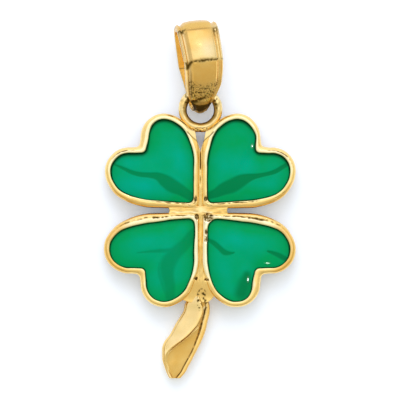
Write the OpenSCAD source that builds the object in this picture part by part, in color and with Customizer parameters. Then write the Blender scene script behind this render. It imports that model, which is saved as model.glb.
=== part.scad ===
// Four leaf clover pendant: gold frame with four enamelled heart leaves, a leaning stem,
// a soldered ring and a loose bail. It lies face up on its flat back.
// X runs to the right, Y towards the bail and Z up out of the face. The origin is the middle
// of the clover on its back. Millimetres.

/* [Leaves] */
// From the middle of the clover to the far end of a cell
cell_reach = 6.03; // [5.6:0.01:6.6]
// From the middle of the clover to the outer side of a cell's lobe
lobe_side = 3.73; // [3.5:0.01:4]
// Radius of the round end of a cell's lobe
lobe_r = 1.2; // [0.9:0.01:1.4]
// Radius of the long shoulder between a cell's flank and its lobe
shoulder_r = 3.2; // [2.8:0.01:3.8]
// Distance between neighbouring cells across the cross
cell_split = 0.97; // [0.9:0.01:1.2]
// Turn of each leaf towards the upright arm of the cross, in degrees
leaf_turn = 1.2; // [0:0.1:3]
// Rounding of a cell's corner at the middle of the clover
tip_r = 0.34; // [0.2:0.01:0.4]
// Rounding of the notch between a leaf's two lobes
notch_r = 0.27; // [0.15:0.01:0.4]
// Width of the rim round a cell
rim_w = 0.38; // [0.3:0.01:0.42]
// How far the level sides of the upper cells are drawn in
draw_upper = 0.13; // [0.05:0.01:0.25]
// How far the level sides of the lower cells are drawn in
draw_lower = 0.25; // [0.1:0.01:0.35]
// Height of the rim above the back
rim_h = 1.6; // [1.4:0.01:2]
// Thickness of the back plate under a cell
plate_t = 0.45; // [0.3:0.01:0.7]

/* [Enamel] */
// Height of the rim above the enamel's edge
enamel_drop = 0.3; // [0.15:0.01:0.5]
// Rise of the enamel's middle above its edge
enamel_dome = 0.16; // [0.02:0.01:0.3]
// Clearance between enamel and metal
enamel_gap = 0.02; // [0.01:0.01:0.05]

/* [Web] */
// Height of the web above the back
web_h = 1.35; // [1.1:0.01:1.5]
// Length of the web's level tab
tab_len = 4.1; // [3.4:0.1:5]
// From the middle of the clover to the point of the open vee between the upper leaves
vee_y = 3.9; // [3.5:0.1:4.3]
// Width of the vee under the ring
vee_w = 0.92; // [0.6:0.02:1]

/* [Ring] */
// Diameter of the ring's hole
ring_hole = 1.8; // [1.6:0.01:2.2]
// Diameter of the ring's wire
ring_wire = 0.57; // [0.45:0.01:0.65]
// Diameter of the bar of solder under the ring
solder_d = 0.44; // [0.36:0.01:0.6]
// Length of the bar of solder
solder_len = 1.1; // [0.9:0.01:1.4]

/* [Stem] */
// Length of the stem along Y
stem_len = 5.5; // [4.5:0.1:7]
// Greatest width of the stem along X
stem_w = 2.4; // [2:0.05:2.8]
// Sideways lean of the stem's end
stem_lean = 1.76; // [0.8:0.02:2.4]
// Height of the stem's ridge above the back
stem_h = 1.5; // [1.3:0.01:1.6]
// Height of the stem's edge and flange above the back
flange_h = 1; // [0.6:0.01:1.1]

/* [Bail] */
// Length of the bail along its loop's long axis
bail_len = 6.25; // [5.5:0.05:7.5]
// Depth of the bail from back to front
bail_depth = 3.5; // [3.2:0.05:4.2]
// Greatest width of the bail's band
bail_w = 2.75; // [2.4:0.05:3.1]
// Thickness of the bail's band at its grooves
band_t = 0.26; // [0.2:0.01:0.35]
// Rise of the band's middle panel above its grooves
panel_rise = 0.14; // [0.06:0.01:0.2]
// Rise of the middle of the band above its edges
band_crown = 0.26; // [0:0.01:0.35]
// Rise of the band's side rails above its grooves
rail_rise = 0.18; // [0.06:0.01:0.25]
// Roll of the lying bail about its long axis, in degrees
bail_roll = 10; // [4:0.5:12]
// Turn of the lying bail in the plane of the clover, in degrees
bail_turn = 6; // [0:0.5:10]
// Clearance between the bail and the ring
bail_gap = 0.05; // [0.04:0.01:0.1]

/* [Hidden] */
gold = "#e0b862";
green = "#00a06a";

// Steps along the arcs of a leaf's outline
tip_steps = 2;
shoulder_steps = 6;
lobe_steps = 8;
notch_steps = 2;
web_steps = 5;

// Centres of a cell's arcs, for a leaf that is symmetric about its diagonal
flank = cell_split / 2;
lobe_c = [lobe_side - lobe_r, cell_reach - lobe_r];
shoulder_x = flank + shoulder_r;
shoulder_c = [
    shoulder_x,
    lobe_c.y - sqrt(pow(shoulder_r - lobe_r, 2) - pow(shoulder_x - lobe_c.x, 2)),
];
// Direction in which the shoulder's arc meets the lobe's arc
meet = atan2(lobe_c.y - shoulder_c.y, lobe_c.x - shoulder_c.x);

// Rim section, from the back up over the crest and down to the cell's floor:
// [share of the rim's width outside the cell, height share from the floor's level to the crest]
rim_section = [
    [1, 0],
    [1, 0.72],
    [0.88, 0.92],
    [0.62, 1],
    [0.3, 0.98],
    [0.06, 0.88],
    [0, 0.74],
];
// Width of the small bevel where the rim meets the back
back_bevel = 0.08;

// Point that sees a whole cell, as a share of the lobe's side, and the shrinking dome rows round it
cell_mid_share = 0.56;
dome_rows = [0.96, 0.82, 0.6, 0.3];
// Height of the rounded edge of the enamel
enamel_round = 0.05;

// How far the web's tab lies to the left of the middle
tab_shift = 0.14;
// From the middle of the clover down to the ends of the web's foot
foot_right = cell_reach * 0.917;
foot_left = cell_reach * 0.973;

// Stem stations: [share of the length, share of the lean, share of the width,
// ridge's place across, crease's place across, ridge's rise above the flange]
stem_rows = [
    [0, 0.1, 0.4, 0.62, 0.8, 0.4],
    [0.09, 0.13, 0.66, 0.68, 0.84, 0.8],
    [0.19, 0.17, 0.71, 0.74, 0.84, 1],
    [0.33, 0.36, 0.83, 0.72, 0.86, 1],
    [0.4, 0.44, 0.88, 0.64, 0.86, 0.98],
    [0.48, 0.55, 0.93, 0.53, 0.86, 0.95],
    [0.55, 0.68, 0.99, 0.42, 0.87, 0.92],
    [0.62, 0.78, 0.98, 0.28, 0.89, 0.88],
    [0.7, 0.85, 0.89, 0.14, 0.89, 0.82],
    [0.78, 0.91, 0.79, 0.1, 0.87, 0.76],
    [0.86, 0.94, 0.63, 0.12, 0.84, 0.66],
    [0.93, 0.96, 0.49, 0.16, 0.8, 0.52],
    [1, 1, 0.27, 0.3, 0.72, 0.3],
];
// Station over which the web's foot ends, how far over it, and the share of the stem's width
// that the foot takes there
web_row = stem_rows[1];
foot_rise = 0.1;
foot_share = 0.86;
// Stem's start, inside the web, the width of its bevels and the share of its width under the edge's slope
stem_start = -cell_reach * 0.944;
stem_bevel = 0.05;
stem_edge = 0.12;

// Middle of the ring's lowest wire, which is soldered between the upper leaves, and middle of the ring
ring_seat = cell_reach * 0.921;
ring_r = (ring_hole + ring_wire) / 2;
ring_y = ring_seat + ring_r;
// How far the bar of solder lies below the middle of the ring's lowest wire
solder_drop = 0.1;

// Bail stations on the outer face, round the loop from the top over the front:
// [length share from the tip, depth share from the back, width share, sideways shift share]
bail_rows = [
    [1, 0.5, 1, -0.005],
    [0.973, 0.7, 1, -0.002],
    [0.9, 0.86, 1, -0.012],
    [0.74, 0.95, 0.98, 0.004],
    [0.545, 1, 0.95, 0.021],
    [0.41, 0.87, 0.925, 0.026],
    [0.27, 0.73, 0.873, 0.01],
    [0.165, 0.62, 0.71, -0.032],
    [0.07, 0.455, 0.465, -0.058],
    [0, 0.26, 0.298, -0.08],
    [0.02, 0.1, 0.29, -0.08],
    [0.085, 0, 0.41, -0.062],
    [0.2, 0, 0.52, -0.036],
    [0.3, 0, 0.61, -0.027],
    [0.52, 0, 0.84, -0.018],
    [0.74, 0.06, 0.86, -0.036],
    [0.92, 0.14, 0.898, -0.043],
    [0.98, 0.28, 0.956, -0.027],
];
// Station over which the ring's wire lies
wire_row = 13;
// Band section across the outer face:
// [place from -1 to 1, share of the panel's rise, share of the rail's rise]
band_section = [
    [-1, 0, 0.5],
    [-0.93, 0, 1],
    [-0.82, 0, 0],
    [-0.7, 0, 0],
    [-0.62, 1, 0],
    [-0.3, 1, 0],
    [0, 1, 0],
    [0.3, 1, 0],
    [0.62, 1, 0],
    [0.7, 0, 0],
    [0.82, 0, 0],
    [0.93, 0, 1],
    [1, 0, 0.5],
];
// Places across the inner face
inner_section = [1, 0, -1];
// Where a cell's level side is drawn in most, how far that runs along it and how far across it
draw_x = lobe_side * 1.02;
draw_len = lobe_side * 0.5;
draw_wide = lobe_side * 0.27;
// The bail's tip lies in the ring's hole, below the middle of the hole
tip_drop = 0.3;

// Point at the angle a on the circle of radius r round c
function on_circle(c, r, a) = c + r * [cos(a), sin(a)];

// Points of an arc round c from angle a to angle b, in n steps
function arc(c, r, a, b, n) = [for (i = [0 : n]) on_circle(c, r, a + (b - a) * i / n)];

// All but the first of a list
function rest(list) = [for (i = [1 : len(list) - 1]) list[i]];

function turned(p, angle) = [p.x * cos(angle) - p.y * sin(angle), p.x * sin(angle) + p.y * cos(angle)];

// Half outline of the upper right leaf, from its tip round the upper lobe to its notch.
// The outline runs outside the cell by the distance out.
function half_leaf(out) =
    let (corner = flank - out + tip_r, dent = lobe_side + out + notch_r)
    concat(
        arc([corner, corner], tip_r, 225, 180, tip_steps),
        arc(shoulder_c, shoulder_r + out, 180, meet, shoulder_steps),
        rest(arc(lobe_c, lobe_r + out, meet, 0, lobe_steps)),
        arc([dent, dent], notch_r, 180, 225, notch_steps)
    );

// Point drawn away from the level arm of the cross by the distance deep, where a cell is drawn in most
function drawn(p, deep) =
    [p.x, p.y + deep * exp(-pow((p.x - draw_x) / draw_len, 2) - pow((p.y - flank) / draw_wide, 2))];

// Whole outline of the upper right leaf, whose second half mirrors the first. Its level side is
// drawn in by up to the distance draw at the cell, and less outwards to none at the rim's outer side.
function leaf(out, draw) =
    let (
        half = half_leaf(out),
        n = len(half),
        other = [for (i = [n - 2 : -1 : 1]) [half[i].y, half[i].x]],
        deep = draw * (1 - max(out, 0) / rim_w)
    )
    [for (p = concat(half, other)) turned(drawn(p, deep), leaf_turn)];

function at_height(outline, z) = [for (p = outline) [p.x, p.y, z]];

// Outline drawn towards the point mid by the share s
function shrunk(outline, mid, s) = [for (p = outline) mid + s * (p - mid)];

// Solid through sections of equally many points. A ring of sections closes on itself,
// and otherwise its two ends are flat faces.
module loft(sections, ring = false) {
    n = len(sections[0]);
    m = len(sections);
    sides = [
        for (i = [0 : m - (ring ? 1 : 2)], j = [0 : n - 1])
            let (a = i * n, b = ((i + 1) % m) * n, k = (j + 1) % n)
            each [[a + j, b + k, b + j], [a + j, a + k, b + k]]
    ];
    ends = ring ? [] : [[for (j = [n - 1 : -1 : 0]) j], [for (j = [0 : n - 1]) (m - 1) * n + j]];
    polyhedron(points = [for (s = sections) each s], faces = concat(sides, ends), convexity = 6);
}

// Closed back plate and rim of one leaf
module leaf_tray(draw) {
    rise = rim_h - plate_t;
    loft(concat(
        [at_height(leaf(rim_w - back_bevel, draw), 0), at_height(leaf(rim_w, draw), back_bevel)],
        [for (row = rim_section) at_height(leaf(rim_w * row[0], draw), plate_t + rise * row[1])],
        [at_height(leaf(0, draw), plate_t)]
    ));
}

module four_leaves() {
    for (side = [0, 1]) {
        mirror([side, 0, 0]) leaf_tray(draw_upper);
        mirror([side, 0, 0]) mirror([0, 1, 0]) leaf_tray(draw_lower);
    }
}

// Side of the web, along the middle of the upper right leaf's rim up to the distance y
function web_side(y) =
    let (r = shoulder_r + rim_w / 2, end = 180 - asin((y - shoulder_c.y) / r))
    [for (p = arc(shoulder_c, r, 180, end, web_steps)) turned(p, leaf_turn)];

function flipped(points, x, y) = [for (p = points) [p.x * x, p.y * y]];

function backwards(list) = [for (i = [len(list) - 1 : -1 : 0]) list[i]];

// Web between the leaves: upright strip with the vee at its top and the foot above the stem, and level tab
module web() {
    top = web_side(ring_seat);
    top_y = top[web_steps].y;
    linear_extrude(web_h) {
        polygon(concat(
            flipped(web_side(foot_right), 1, -1),
            [for (side = [1, -1]) stem_side(web_row, side * foot_share) + [0, foot_rise]],
            backwards(flipped(web_side(foot_left), -1, -1)),
            flipped(top, -1, 1),
            [[-vee_w / 2, top_y], [0, vee_y], [vee_w / 2, top_y]],
            backwards(top)
        ));
        translate([-tab_len / 2 - tab_shift, -cell_split / 2 + rim_w / 2])
            square([tab_len, cell_split - rim_w]);
    }
}

// Left (-1) or right (1) side of the stem at a station
function stem_side(row, side) =
    [stem_w * row[2] / 2 * side - stem_lean * row[1], stem_start - stem_len * row[0]];

module stem() {
    sections = [
        for (row = stem_rows)
            let (
                y = stem_side(row, 1).y,
                left = stem_side(row, -1).x,
                right = stem_side(row, 1).x,
                w = right - left,
                ridge = left + w * row[3],
                crease = left + w * row[4],
                top = flange_h + (stem_h - flange_h) * row[5]
            )
            [
                [left + stem_bevel, y, 0],
                [left, y, stem_bevel],
                [left, y, flange_h * 0.8],
                [left + stem_edge * w / 2, y, (flange_h + top) / 2],
                [ridge, y, top],
                [crease, y, flange_h * 0.9],
                [crease + stem_edge * w / 4, y, flange_h],
                [right, y, flange_h * 0.8],
                [right, y, stem_bevel],
                [right - stem_bevel, y, 0],
            ]
    ];
    loft(sections);
}

module ring() {
    translate([0, ring_y, ring_z]) rotate_extrude($fn = 96)
        translate([ring_r, 0]) circle(d = ring_wire, $fn = 32);
}

module solder_bar() {
    translate([-solder_len / 2, ring_seat - solder_drop, ring_z - ring_wire / 4])
        rotate([0, 90, 0]) cylinder(d = solder_d, h = solder_len, $fn = 32);
}

module clover_frame() {
    color(gold) union() {
        four_leaves();
        web();
        stem();
        ring();
        solder_bar();
    }
}

// Enamel of one cell, a low dome with a rounded edge
module enamel(draw) {
    mid = turned(lobe_side * cell_mid_share * [1, 1], leaf_turn);
    edge = rim_h - enamel_drop;
    outline = leaf(-enamel_gap, draw);
    color(green) loft(concat(
        [at_height(outline, plate_t + enamel_gap), at_height(outline, edge - enamel_round)],
        [for (s = dome_rows) at_height(shrunk(outline, mid, s), edge + enamel_dome * (1 - s * s))]
    ));
}

module enamel_upper_right() { enamel(draw_upper); }
module enamel_upper_left() { mirror([1, 0, 0]) enamel(draw_upper); }
module enamel_lower_right() { mirror([0, 1, 0]) enamel(draw_lower); }
module enamel_lower_left() { mirror([1, 0, 0]) mirror([0, 1, 0]) enamel(draw_lower); }

// Place on the bail's outer face, in its side view: [along the length, along the depth]
function side_point(i) =
    let (row = bail_rows[(i + len(bail_rows)) % len(bail_rows)])
    [bail_len * row[0], bail_depth * row[1]];

function unit(v) = v / norm(v);

// Direction out of the loop at a station, halfway between its two facets and long enough
// to keep the band's thickness
function outward(i) =
    let (
        before = unit(side_point(i) - side_point(i - 1)),
        after = unit(side_point(i + 1) - side_point(i)),
        along = unit(before + after)
    )
    [-along.y, along.x] * -1 / (along * after);

// How far the band lies inside its middle at a place across it
function crown_drop(place) = band_crown * place * place;

// Points round the band at a station, the outer face first, in the bail's own frame.
// The relief across the band gets lower as the band gets narrower.
function band(i) =
    let (
        row = bail_rows[i],
        half = bail_w * row[2] / 2,
        shift = bail_w * row[3],
        base = side_point(i),
        out = outward(i)
    )
    concat(
        [
            for (s = band_section)
                let (
                    relief = panel_rise * (s[1] - 1) + rail_rise * s[2] - crown_drop(s[0]),
                    p = base + out * relief * row[2]
                )
                [shift + half * s[0], p.x, p.y]
        ],
        [
            for (place = inner_section)
                let (p = base - out * (band_t + (panel_rise + crown_drop(place)) * row[2]))
                [shift + half * place, p.x, p.y]
        ]
    );

// Height of a point of the bail once it is rolled
function rolled_height(p) = p.z * cos(bail_roll) - p.x * sin(bail_roll);

bands = [for (i = [0 : len(bail_rows) - 1]) band(i)];
// How far the bail is lifted to lie on the surface, and the height of the ring
// that leaves the band its way under it
bail_lift = -min([for (points = bands, p = points) rolled_height(p)]);
ring_z = bail_lift + max([for (p = bands[wire_row]) rolled_height(p)]) + bail_gap + ring_wire / 2;

module bail() {
    color(gold) translate([0, ring_y - tip_drop, bail_lift])
        rotate([0, bail_roll, bail_turn]) loft(bands, ring = true);
}

clover_frame();
enamel_upper_left();
enamel_upper_right();
enamel_lower_left();
enamel_lower_right();
bail();
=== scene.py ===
"""Looks of a four leaf clover pendant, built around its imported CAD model.

Every length is in metres in the frame of the CAD: X to the right of the face, Y towards the
bail, Z out of the face. The origin is the middle of the clover on its flat back.
"""

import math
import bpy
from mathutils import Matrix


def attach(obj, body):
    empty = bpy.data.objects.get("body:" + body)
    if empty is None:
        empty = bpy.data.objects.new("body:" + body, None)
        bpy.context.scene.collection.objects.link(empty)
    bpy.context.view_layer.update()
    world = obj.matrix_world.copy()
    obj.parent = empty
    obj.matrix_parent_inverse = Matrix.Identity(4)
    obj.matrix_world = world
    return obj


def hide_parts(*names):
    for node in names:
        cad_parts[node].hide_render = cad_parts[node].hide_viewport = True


bl_info = {
    "name": "Four leaf clover pendant",
    "version": (1, 0, 0),
    "blender": (4, 5, 0),
    "location": "3D View > Sidebar > Clover",
    "description": "Builds the enamelled leaves, web, ring, stem and bail of a gold clover pendant",
    "category": "Object",
}

import bpy
import numpy as np
from bpy.props import FloatProperty, FloatVectorProperty, PointerProperty

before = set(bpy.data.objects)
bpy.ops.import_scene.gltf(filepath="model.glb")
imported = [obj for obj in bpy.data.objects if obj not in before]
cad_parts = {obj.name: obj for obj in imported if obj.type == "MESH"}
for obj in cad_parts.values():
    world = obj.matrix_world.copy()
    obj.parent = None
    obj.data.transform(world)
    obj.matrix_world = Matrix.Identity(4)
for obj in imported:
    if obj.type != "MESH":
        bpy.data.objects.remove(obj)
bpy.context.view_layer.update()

MM = 0.001

# Each leaf's name and the signs that turn the upper right leaf into it
LEAVES = {
    "upper_right": (1, 1),
    "upper_left": (-1, 1),
    "lower_right": (1, -1),
    "lower_left": (-1, -1),
}

# Numbers of points: rows of a rim's section, columns of half a leaf's outline, points of one of its
# arcs, points of a painted reflection streak, and rows round the bail's loop
RIM_ROWS = 84
LEAF_COLUMNS = 150
ARC_POINTS = 60
STREAK_POINTS = 60
BAIL_STEPS = 360

# Shares of a cell's reach at which the ring's lowest wire and the stem's upper end lie, and the share
# of a lobe's side at which the point from which a cell is seen lies
RING_SEAT = 0.921
STEM_SEAT = 0.944
MIDDLE_SHARE = 0.56

# In millimetres: cut of the rim's foot inwards and upwards, depths of a full groove and a full pit in
# the rims and in the web, rounding of the enamel's edge, height of the web's underside, bevel of the
# web's edges, and how far the floor lies under the pendant
RIM_FOOT = (0.08, 0.05)
RIM_DENTS = (0.07, 0.1)
WEB_DENTS = (0.1, 0.12)
ENAMEL_EDGE = 0.06
UNDERSIDE = 0.03
BEVEL_WIDTH = 0.04
FLOOR_DEPTH = 0.01

# In millimetres: upper end of the web's strip, place along Y where the vee has its width, half width
# of the level tab, and height to which the strip dips under the ring
STRIP_TOP = 5.9
VEE_END = 5.5
TAB_HALF = 0.3
DIP_HEIGHT = 0.7

# Lower edge of the web's foot: [share of the way to the strip's side, place along Y in millimetres]
FOOT_EDGE = [(-1, -5.87), (-0.42, -6.12), (0.3, -6.1), (1, -5.53)]

# In millimetres: reach of the stem's flange, lean of the bail's lower end to the right and rounding of
# its left and right corners, bow of the bail's lower facet, rise of its lump of metal, and how far
# its lower end lies below the middle of the ring
FLANGE_REACH = 0.1
END_LEAN = 0.07
END_ROUND = (0.22, 0.06)
FACET_BOW = 0.06
LUMP_RISE = 0.1
BAIL_SINK = 0.3

# Section of the rim from the back over the crest down to the cell's floor:
# [share of the rim's width outside the cell, share of the rim's height]
RIM_SECTION = [
    (1, 0.06),
    (1, 0.4),
    (1, 0.7),
    (0.985, 0.81),
    (0.94, 0.88),
    (0.84, 0.93),
    (0.7, 0.968),
    (0.55, 0.99),
    (0.4, 1),
    (0.25, 1),
    (0.13, 0.996),
    (0.04, 0.982),
    (0, 0.95),
    (0, 0.88),
    (0, 0.75),
    (0, 0.5),
    (0, 0.3),
]

# Where a leaf's cell departs from the regular leaf, as if the leaf were the upper right one:
# (start of the leaf's name, x, y, radius across, radius along, shift in x, shift in y), in millimetres
DEPARTURES = [
    ("upper_left", 3.75, 5.0, 0.7, 0.9, -0.18, 0),
    ("lower_right", 3.75, 4.9, 0.7, 0.9, -0.16, 0),
    ("upper_right", 0.6, 4.0, 0.5, 1.2, 0.08, 0),
    ("upper_right", 3.7, 4.8, 0.4, 0.5, 0.09, 0),
    ("lower_left", 0.45, 1.3, 0.5, 0.9, -0.11, 0),
    ("lower_right", 0.62, 0.58, 0.35, 0.35, 0.14, 0.09),
    ("lower_right", 0.55, 3.7, 0.4, 0.8, 0.06, 0),
]

# Where a leaf's whole outline bulges, rim and cell alike, in the same terms. No name means each leaf
BULGES = [
    ("", 5.35, 1.2, 1.1, 0.8, 0.1, -0.06),
    ("", 1.2, 5.35, 0.8, 0.8, -0.04, 0.08),
    ("", 3.9, 3.9, 0.45, 0.45, 0.045, 0.045),
    ("upper_right", 5.0, 0.9, 0.9, 0.7, 0.03, -0.05),
    ("lower_left", 5.9, 2.2, 0.8, 1.2, 0.11, 0),
]

# Where a ragged line of painted shade, pressed in a little, parts the inner edge from the rim, as if
# the leaf were the upper right one: (start of the leaf's name, x, y, radius across, radius along,
# strength, share of the rim's width), with the lengths in millimetres
GROOVES = [
    ("lower", 2.4, 0.6, 1.9, 0.7, 1.3, 0.52),
    ("lower_right", 3.6, 0.62, 0.8, 0.5, 2.2, 0.5),
    ("lower_left", 2.8, 0.6, 0.8, 0.5, 2.2, 0.5),
    ("lower", 4.7, 1.0, 0.9, 0.7, 0.9, 0.6),
    ("upper", 1.9, 0.5, 1.3, 0.4, 1.0, 0.15),
    ("upper_right", 2.9, 0.55, 0.7, 0.4, 1.8, 0.2),
    ("upper", 0.6, 0.6, 0.45, 0.45, 1.0, 0.42),
    ("upper_left", 5.3, 3.9, 0.7, 0.6, 0.9, 0.4),
    ("upper_right", 5.35, 3.75, 0.9, 0.7, 1.0, 0.45),
    ("upper_right", 5.3, 1.1, 0.5, 0.35, 0.8, 0.5),
]

# Thin seams across the rims: (start of the leaf's name, strength, points of x, y and half width)
SEAMS = [
    ("upper", 0.75, [(0.86, 5.2, 0.04), (0.55, 4.93, 0.03), (0.2, 4.58, 0.035)]),
]

# Pits where the rims meet the cross, pressed in and darkened with painted shade: (x, y, radius
# across, radius along), in millimetres
PITS = [
    (-0.32, 0.74, 0.1, 0.22),
    (0.36, 0.78, 0.12, 0.17),
    (-0.25, -0.42, 0.14, 0.2),
    (0.52, -0.47, 0.36, 0.31),
    (0.38, -1.45, 0.08, 0.2),
    (0.35, -1.9, 0.1, 0.22),
    (-0.31, -4.53, 0.14, 0.12),
    (0.42, -4.62, 0.16, 0.1),
]

# Dark streaks painted into the enamel as reflections, also pressed in as shallow folds: (leaf,
# strength, softness, points of x, y and half width in millimetres)
REFLECTION_STREAKS = [
    ("upper_left", 0.86, 0.25, [
        (-5.75, 3.08, 0.06), (-5.11, 2.79, 0.11), (-4.54, 2.53, 0.14), (-3.97, 2.39, 0.16),
        (-3.4, 2.35, 0.18), (-2.83, 2.26, 0.27), (-2.35, 1.96, 0.42), (-1.87, 1.63, 0.46),
        (-1.3, 1.34, 0.37), (-0.73, 0.97, 0.3), (-0.35, 0.7, 0.26),
    ]),
    ("upper_right", 1.0, 0.25, [
        (6.0, 3.2, 0.1), (5.55, 2.93, 0.14), (4.98, 2.59, 0.15), (4.32, 2.4, 0.13),
        (3.65, 2.27, 0.18), (3.17, 2.15, 0.3), (2.7, 1.96, 0.42), (2.13, 1.64, 0.47),
        (1.55, 1.42, 0.42), (1.08, 1.17, 0.32), (0.5, 0.95, 0.24), (0.2, 0.8, 0.2),
    ]),
    ("lower_left", 0.55, 0.35, [
        (-0.4, -1.4, 0.2), (-0.64, -1.68, 0.3), (-0.97, -2.2, 0.37), (-1.68, -2.87, 0.44),
        (-2.14, -3.54, 0.52), (-2.21, -4.2, 0.44), (-2.06, -4.97, 0.36), (-2.02, -5.73, 0.32),
    ]),
    ("lower_left", 0.5, 0.5, [
        (-1.5, -2.6, 0.16), (-2.25, -2.68, 0.14), (-3.1, -2.72, 0.1), (-4.2, -2.82, 0.03),
    ]),
    ("lower_left", 0.35, 0.5, [
        (-2.75, -3.5, 0.04), (-2.75, -4.2, 0.1), (-2.5, -5.0, 0.12), (-2.3, -5.6, 0.1),
    ]),
    ("lower_right", 0.9, 0.35, [
        (0.45, -1.9, 0.08), (0.6, -2.0, 0.12), (0.94, -2.22, 0.17), (1.32, -2.55, 0.17),
        (1.6, -2.79, 0.19), (1.94, -2.85, 0.12), (2.25, -2.8, 0.04),
    ]),
    ("lower_right", 1.0, 0.3, [
        (4.5, -2.72, 0.07), (5.08, -2.93, 0.15), (5.55, -3.17, 0.17), (5.95, -3.4, 0.13),
    ]),
    ("lower_right", 1.0, 0.75, [(3.1, -4.3, 0.24), (2.95, -4.9, 0.42), (2.75, -5.5, 0.44)]),
]

# Patches of the enamel that lean to teal, or to green where the amount is below nought:
# (x, y, radius across, radius along, amount)
TINTS = [
    (2.7, -2.0, 1.5, 0.6, 0.5),
    (1.74, -4.2, 0.7, 1.2, 0.45),
    (-3.97, -2.2, 1.2, 0.5, 0.45),
    (-4.44, 3.31, 1.2, 0.5, 0.5),
    (-4.2, 1.4, 2.0, 0.8, 0.8),
    (-1.49, 3.4, 0.8, 1.2, 0.45),
    (2.1, 3.0, 1.3, 0.8, 0.45),
    (4.6, 1.7, 1.0, 0.5, 0.4),
    (2.0, 4.8, 1.0, 0.8, -0.5),
    (-3.4, -1.0, 1.4, 0.5, -0.4),
    (3.6, -1.0, 1.4, 0.5, -0.4),
]

# Small facets of the enamel that turn the small light to the camera: (x, y, radius across, radius
# along, gloss), in millimetres
GLINTS = [
    (3.17, -4.6, 0.09, 0.24, 1.0),
    (3.45, 4.3, 0.1, 0.18, 1.0),
    (4.47, -3.5, 0.27, 0.11, 0.25),
]

# Places of the small light, of the camera as the facets see it and of the large soft light, and the
# sides of both square lights, in metres
GLINT_PLACE = (0.05, 0.16, 0.3)
GLINT_SIZE = 0.008
CAMERA_PLACE = (0, 0, 0.2975)
KEY_PLACE = (-0.03, 0.36, 0.34)
KEY_SIZE = 0.26

# Sky: its level in the middle and how it changes along each axis, its colours from level 0 to 1, the
# way to its round soft light and the cosine at that light's edge
SKY_LEVEL = 0.42
SKY_SLOPES = {"Y": 0.42, "Z": 0.08, "X": -0.05}
SKY_STOPS = [
    (0.0, (0.24, 0.22, 0.17)),
    (0.22, (0.37, 0.35, 0.28)),
    (0.5, (0.41, 0.41, 0.38)),
    (0.72, (0.5, 0.51, 0.57)),
    (1.0, (0.58, 0.59, 0.75)),
]
SOFT_WAY = (0.15, 0.4, 0.9)
SOFT_EDGE = 0.7

# Shift of the noise in the bail's gold against the frame's, in metres
BAIL_NOISE_SHIFT = 0.003

# Stem stations: share of the length, share of the lean, share of the width,
# ridge's place across, crease's place across, ridge's rise above the flange
STEM_ROWS = [
    (0, 0.1, 0.4, 0.55, 0.8, 0.75),
    (0.09, 0.13, 0.66, 0.66, 0.84, 0.95),
    (0.19, 0.17, 0.71, 0.74, 0.84, 1),
    (0.33, 0.36, 0.83, 0.72, 0.86, 1),
    (0.4, 0.44, 0.88, 0.64, 0.86, 0.98),
    (0.48, 0.55, 0.93, 0.53, 0.86, 0.95),
    (0.55, 0.68, 0.99, 0.42, 0.87, 0.92),
    (0.62, 0.78, 0.98, 0.28, 0.89, 0.88),
    (0.7, 0.85, 0.89, 0.14, 0.89, 0.82),
    (0.78, 0.91, 0.79, 0.1, 0.87, 0.76),
    (0.86, 0.94, 0.63, 0.12, 0.84, 0.66),
    (0.93, 0.96, 0.49, 0.16, 0.8, 0.52),
    (1, 1, 0.27, 0.3, 0.72, 0.3),
]

# Bail stations round its loop from the top over the front:
# length share from the tip, depth share from the back, width share, sideways shift share
BAIL_ROWS = [
    (1, 0.5, 1, -0.005),
    (0.973, 0.7, 1, -0.002),
    (0.9, 0.86, 1, -0.012),
    (0.74, 0.95, 0.98, 0.004),
    (0.545, 1, 0.95, 0.021),
    (0.41, 0.87, 0.925, 0.026),
    (0.27, 0.73, 0.873, 0.01),
    (0.165, 0.62, 0.71, -0.032),
    (0.07, 0.455, 0.465, -0.058),
    (0, 0.26, 0.298, -0.08),
    (0.02, 0.1, 0.29, -0.08),
    (0.085, 0, 0.41, -0.062),
    (0.2, 0, 0.52, -0.036),
    (0.3, 0, 0.61, -0.027),
    (0.52, 0, 0.84, -0.018),
    (0.74, 0.06, 0.86, -0.036),
    (0.92, 0.14, 0.898, -0.043),
    (0.98, 0.28, 0.956, -0.027),
]


def length(label, description, millimetres):
    """Length property whose default is given in millimetres."""
    return FloatProperty(
        name=label, description=description, default=millimetres * MM, unit="LENGTH", precision=5
    )


def angle(label, description, degrees):
    """Angle property whose default is given in degrees."""
    return FloatProperty(
        name=label, description=description, default=math.radians(degrees), subtype="ANGLE"
    )


def share(label, description, default):
    """Number property from 0 to 1."""
    return FloatProperty(
        name=label, description=description, default=default, min=0, max=1, subtype="FACTOR"
    )


def strength(label, description, default, **unit):
    """Number property that isn't below 0, such as a light's strength."""
    return FloatProperty(name=label, description=description, default=default, min=0, **unit)


def power(label, description, watts):
    """Power property of a light."""
    return strength(label, description, watts, unit="POWER")


def colour(label, description, default):
    """Linear colour property."""
    return FloatVectorProperty(
        name=label, description=description, default=default, size=3, min=0, max=4, subtype="COLOR"
    )


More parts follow.
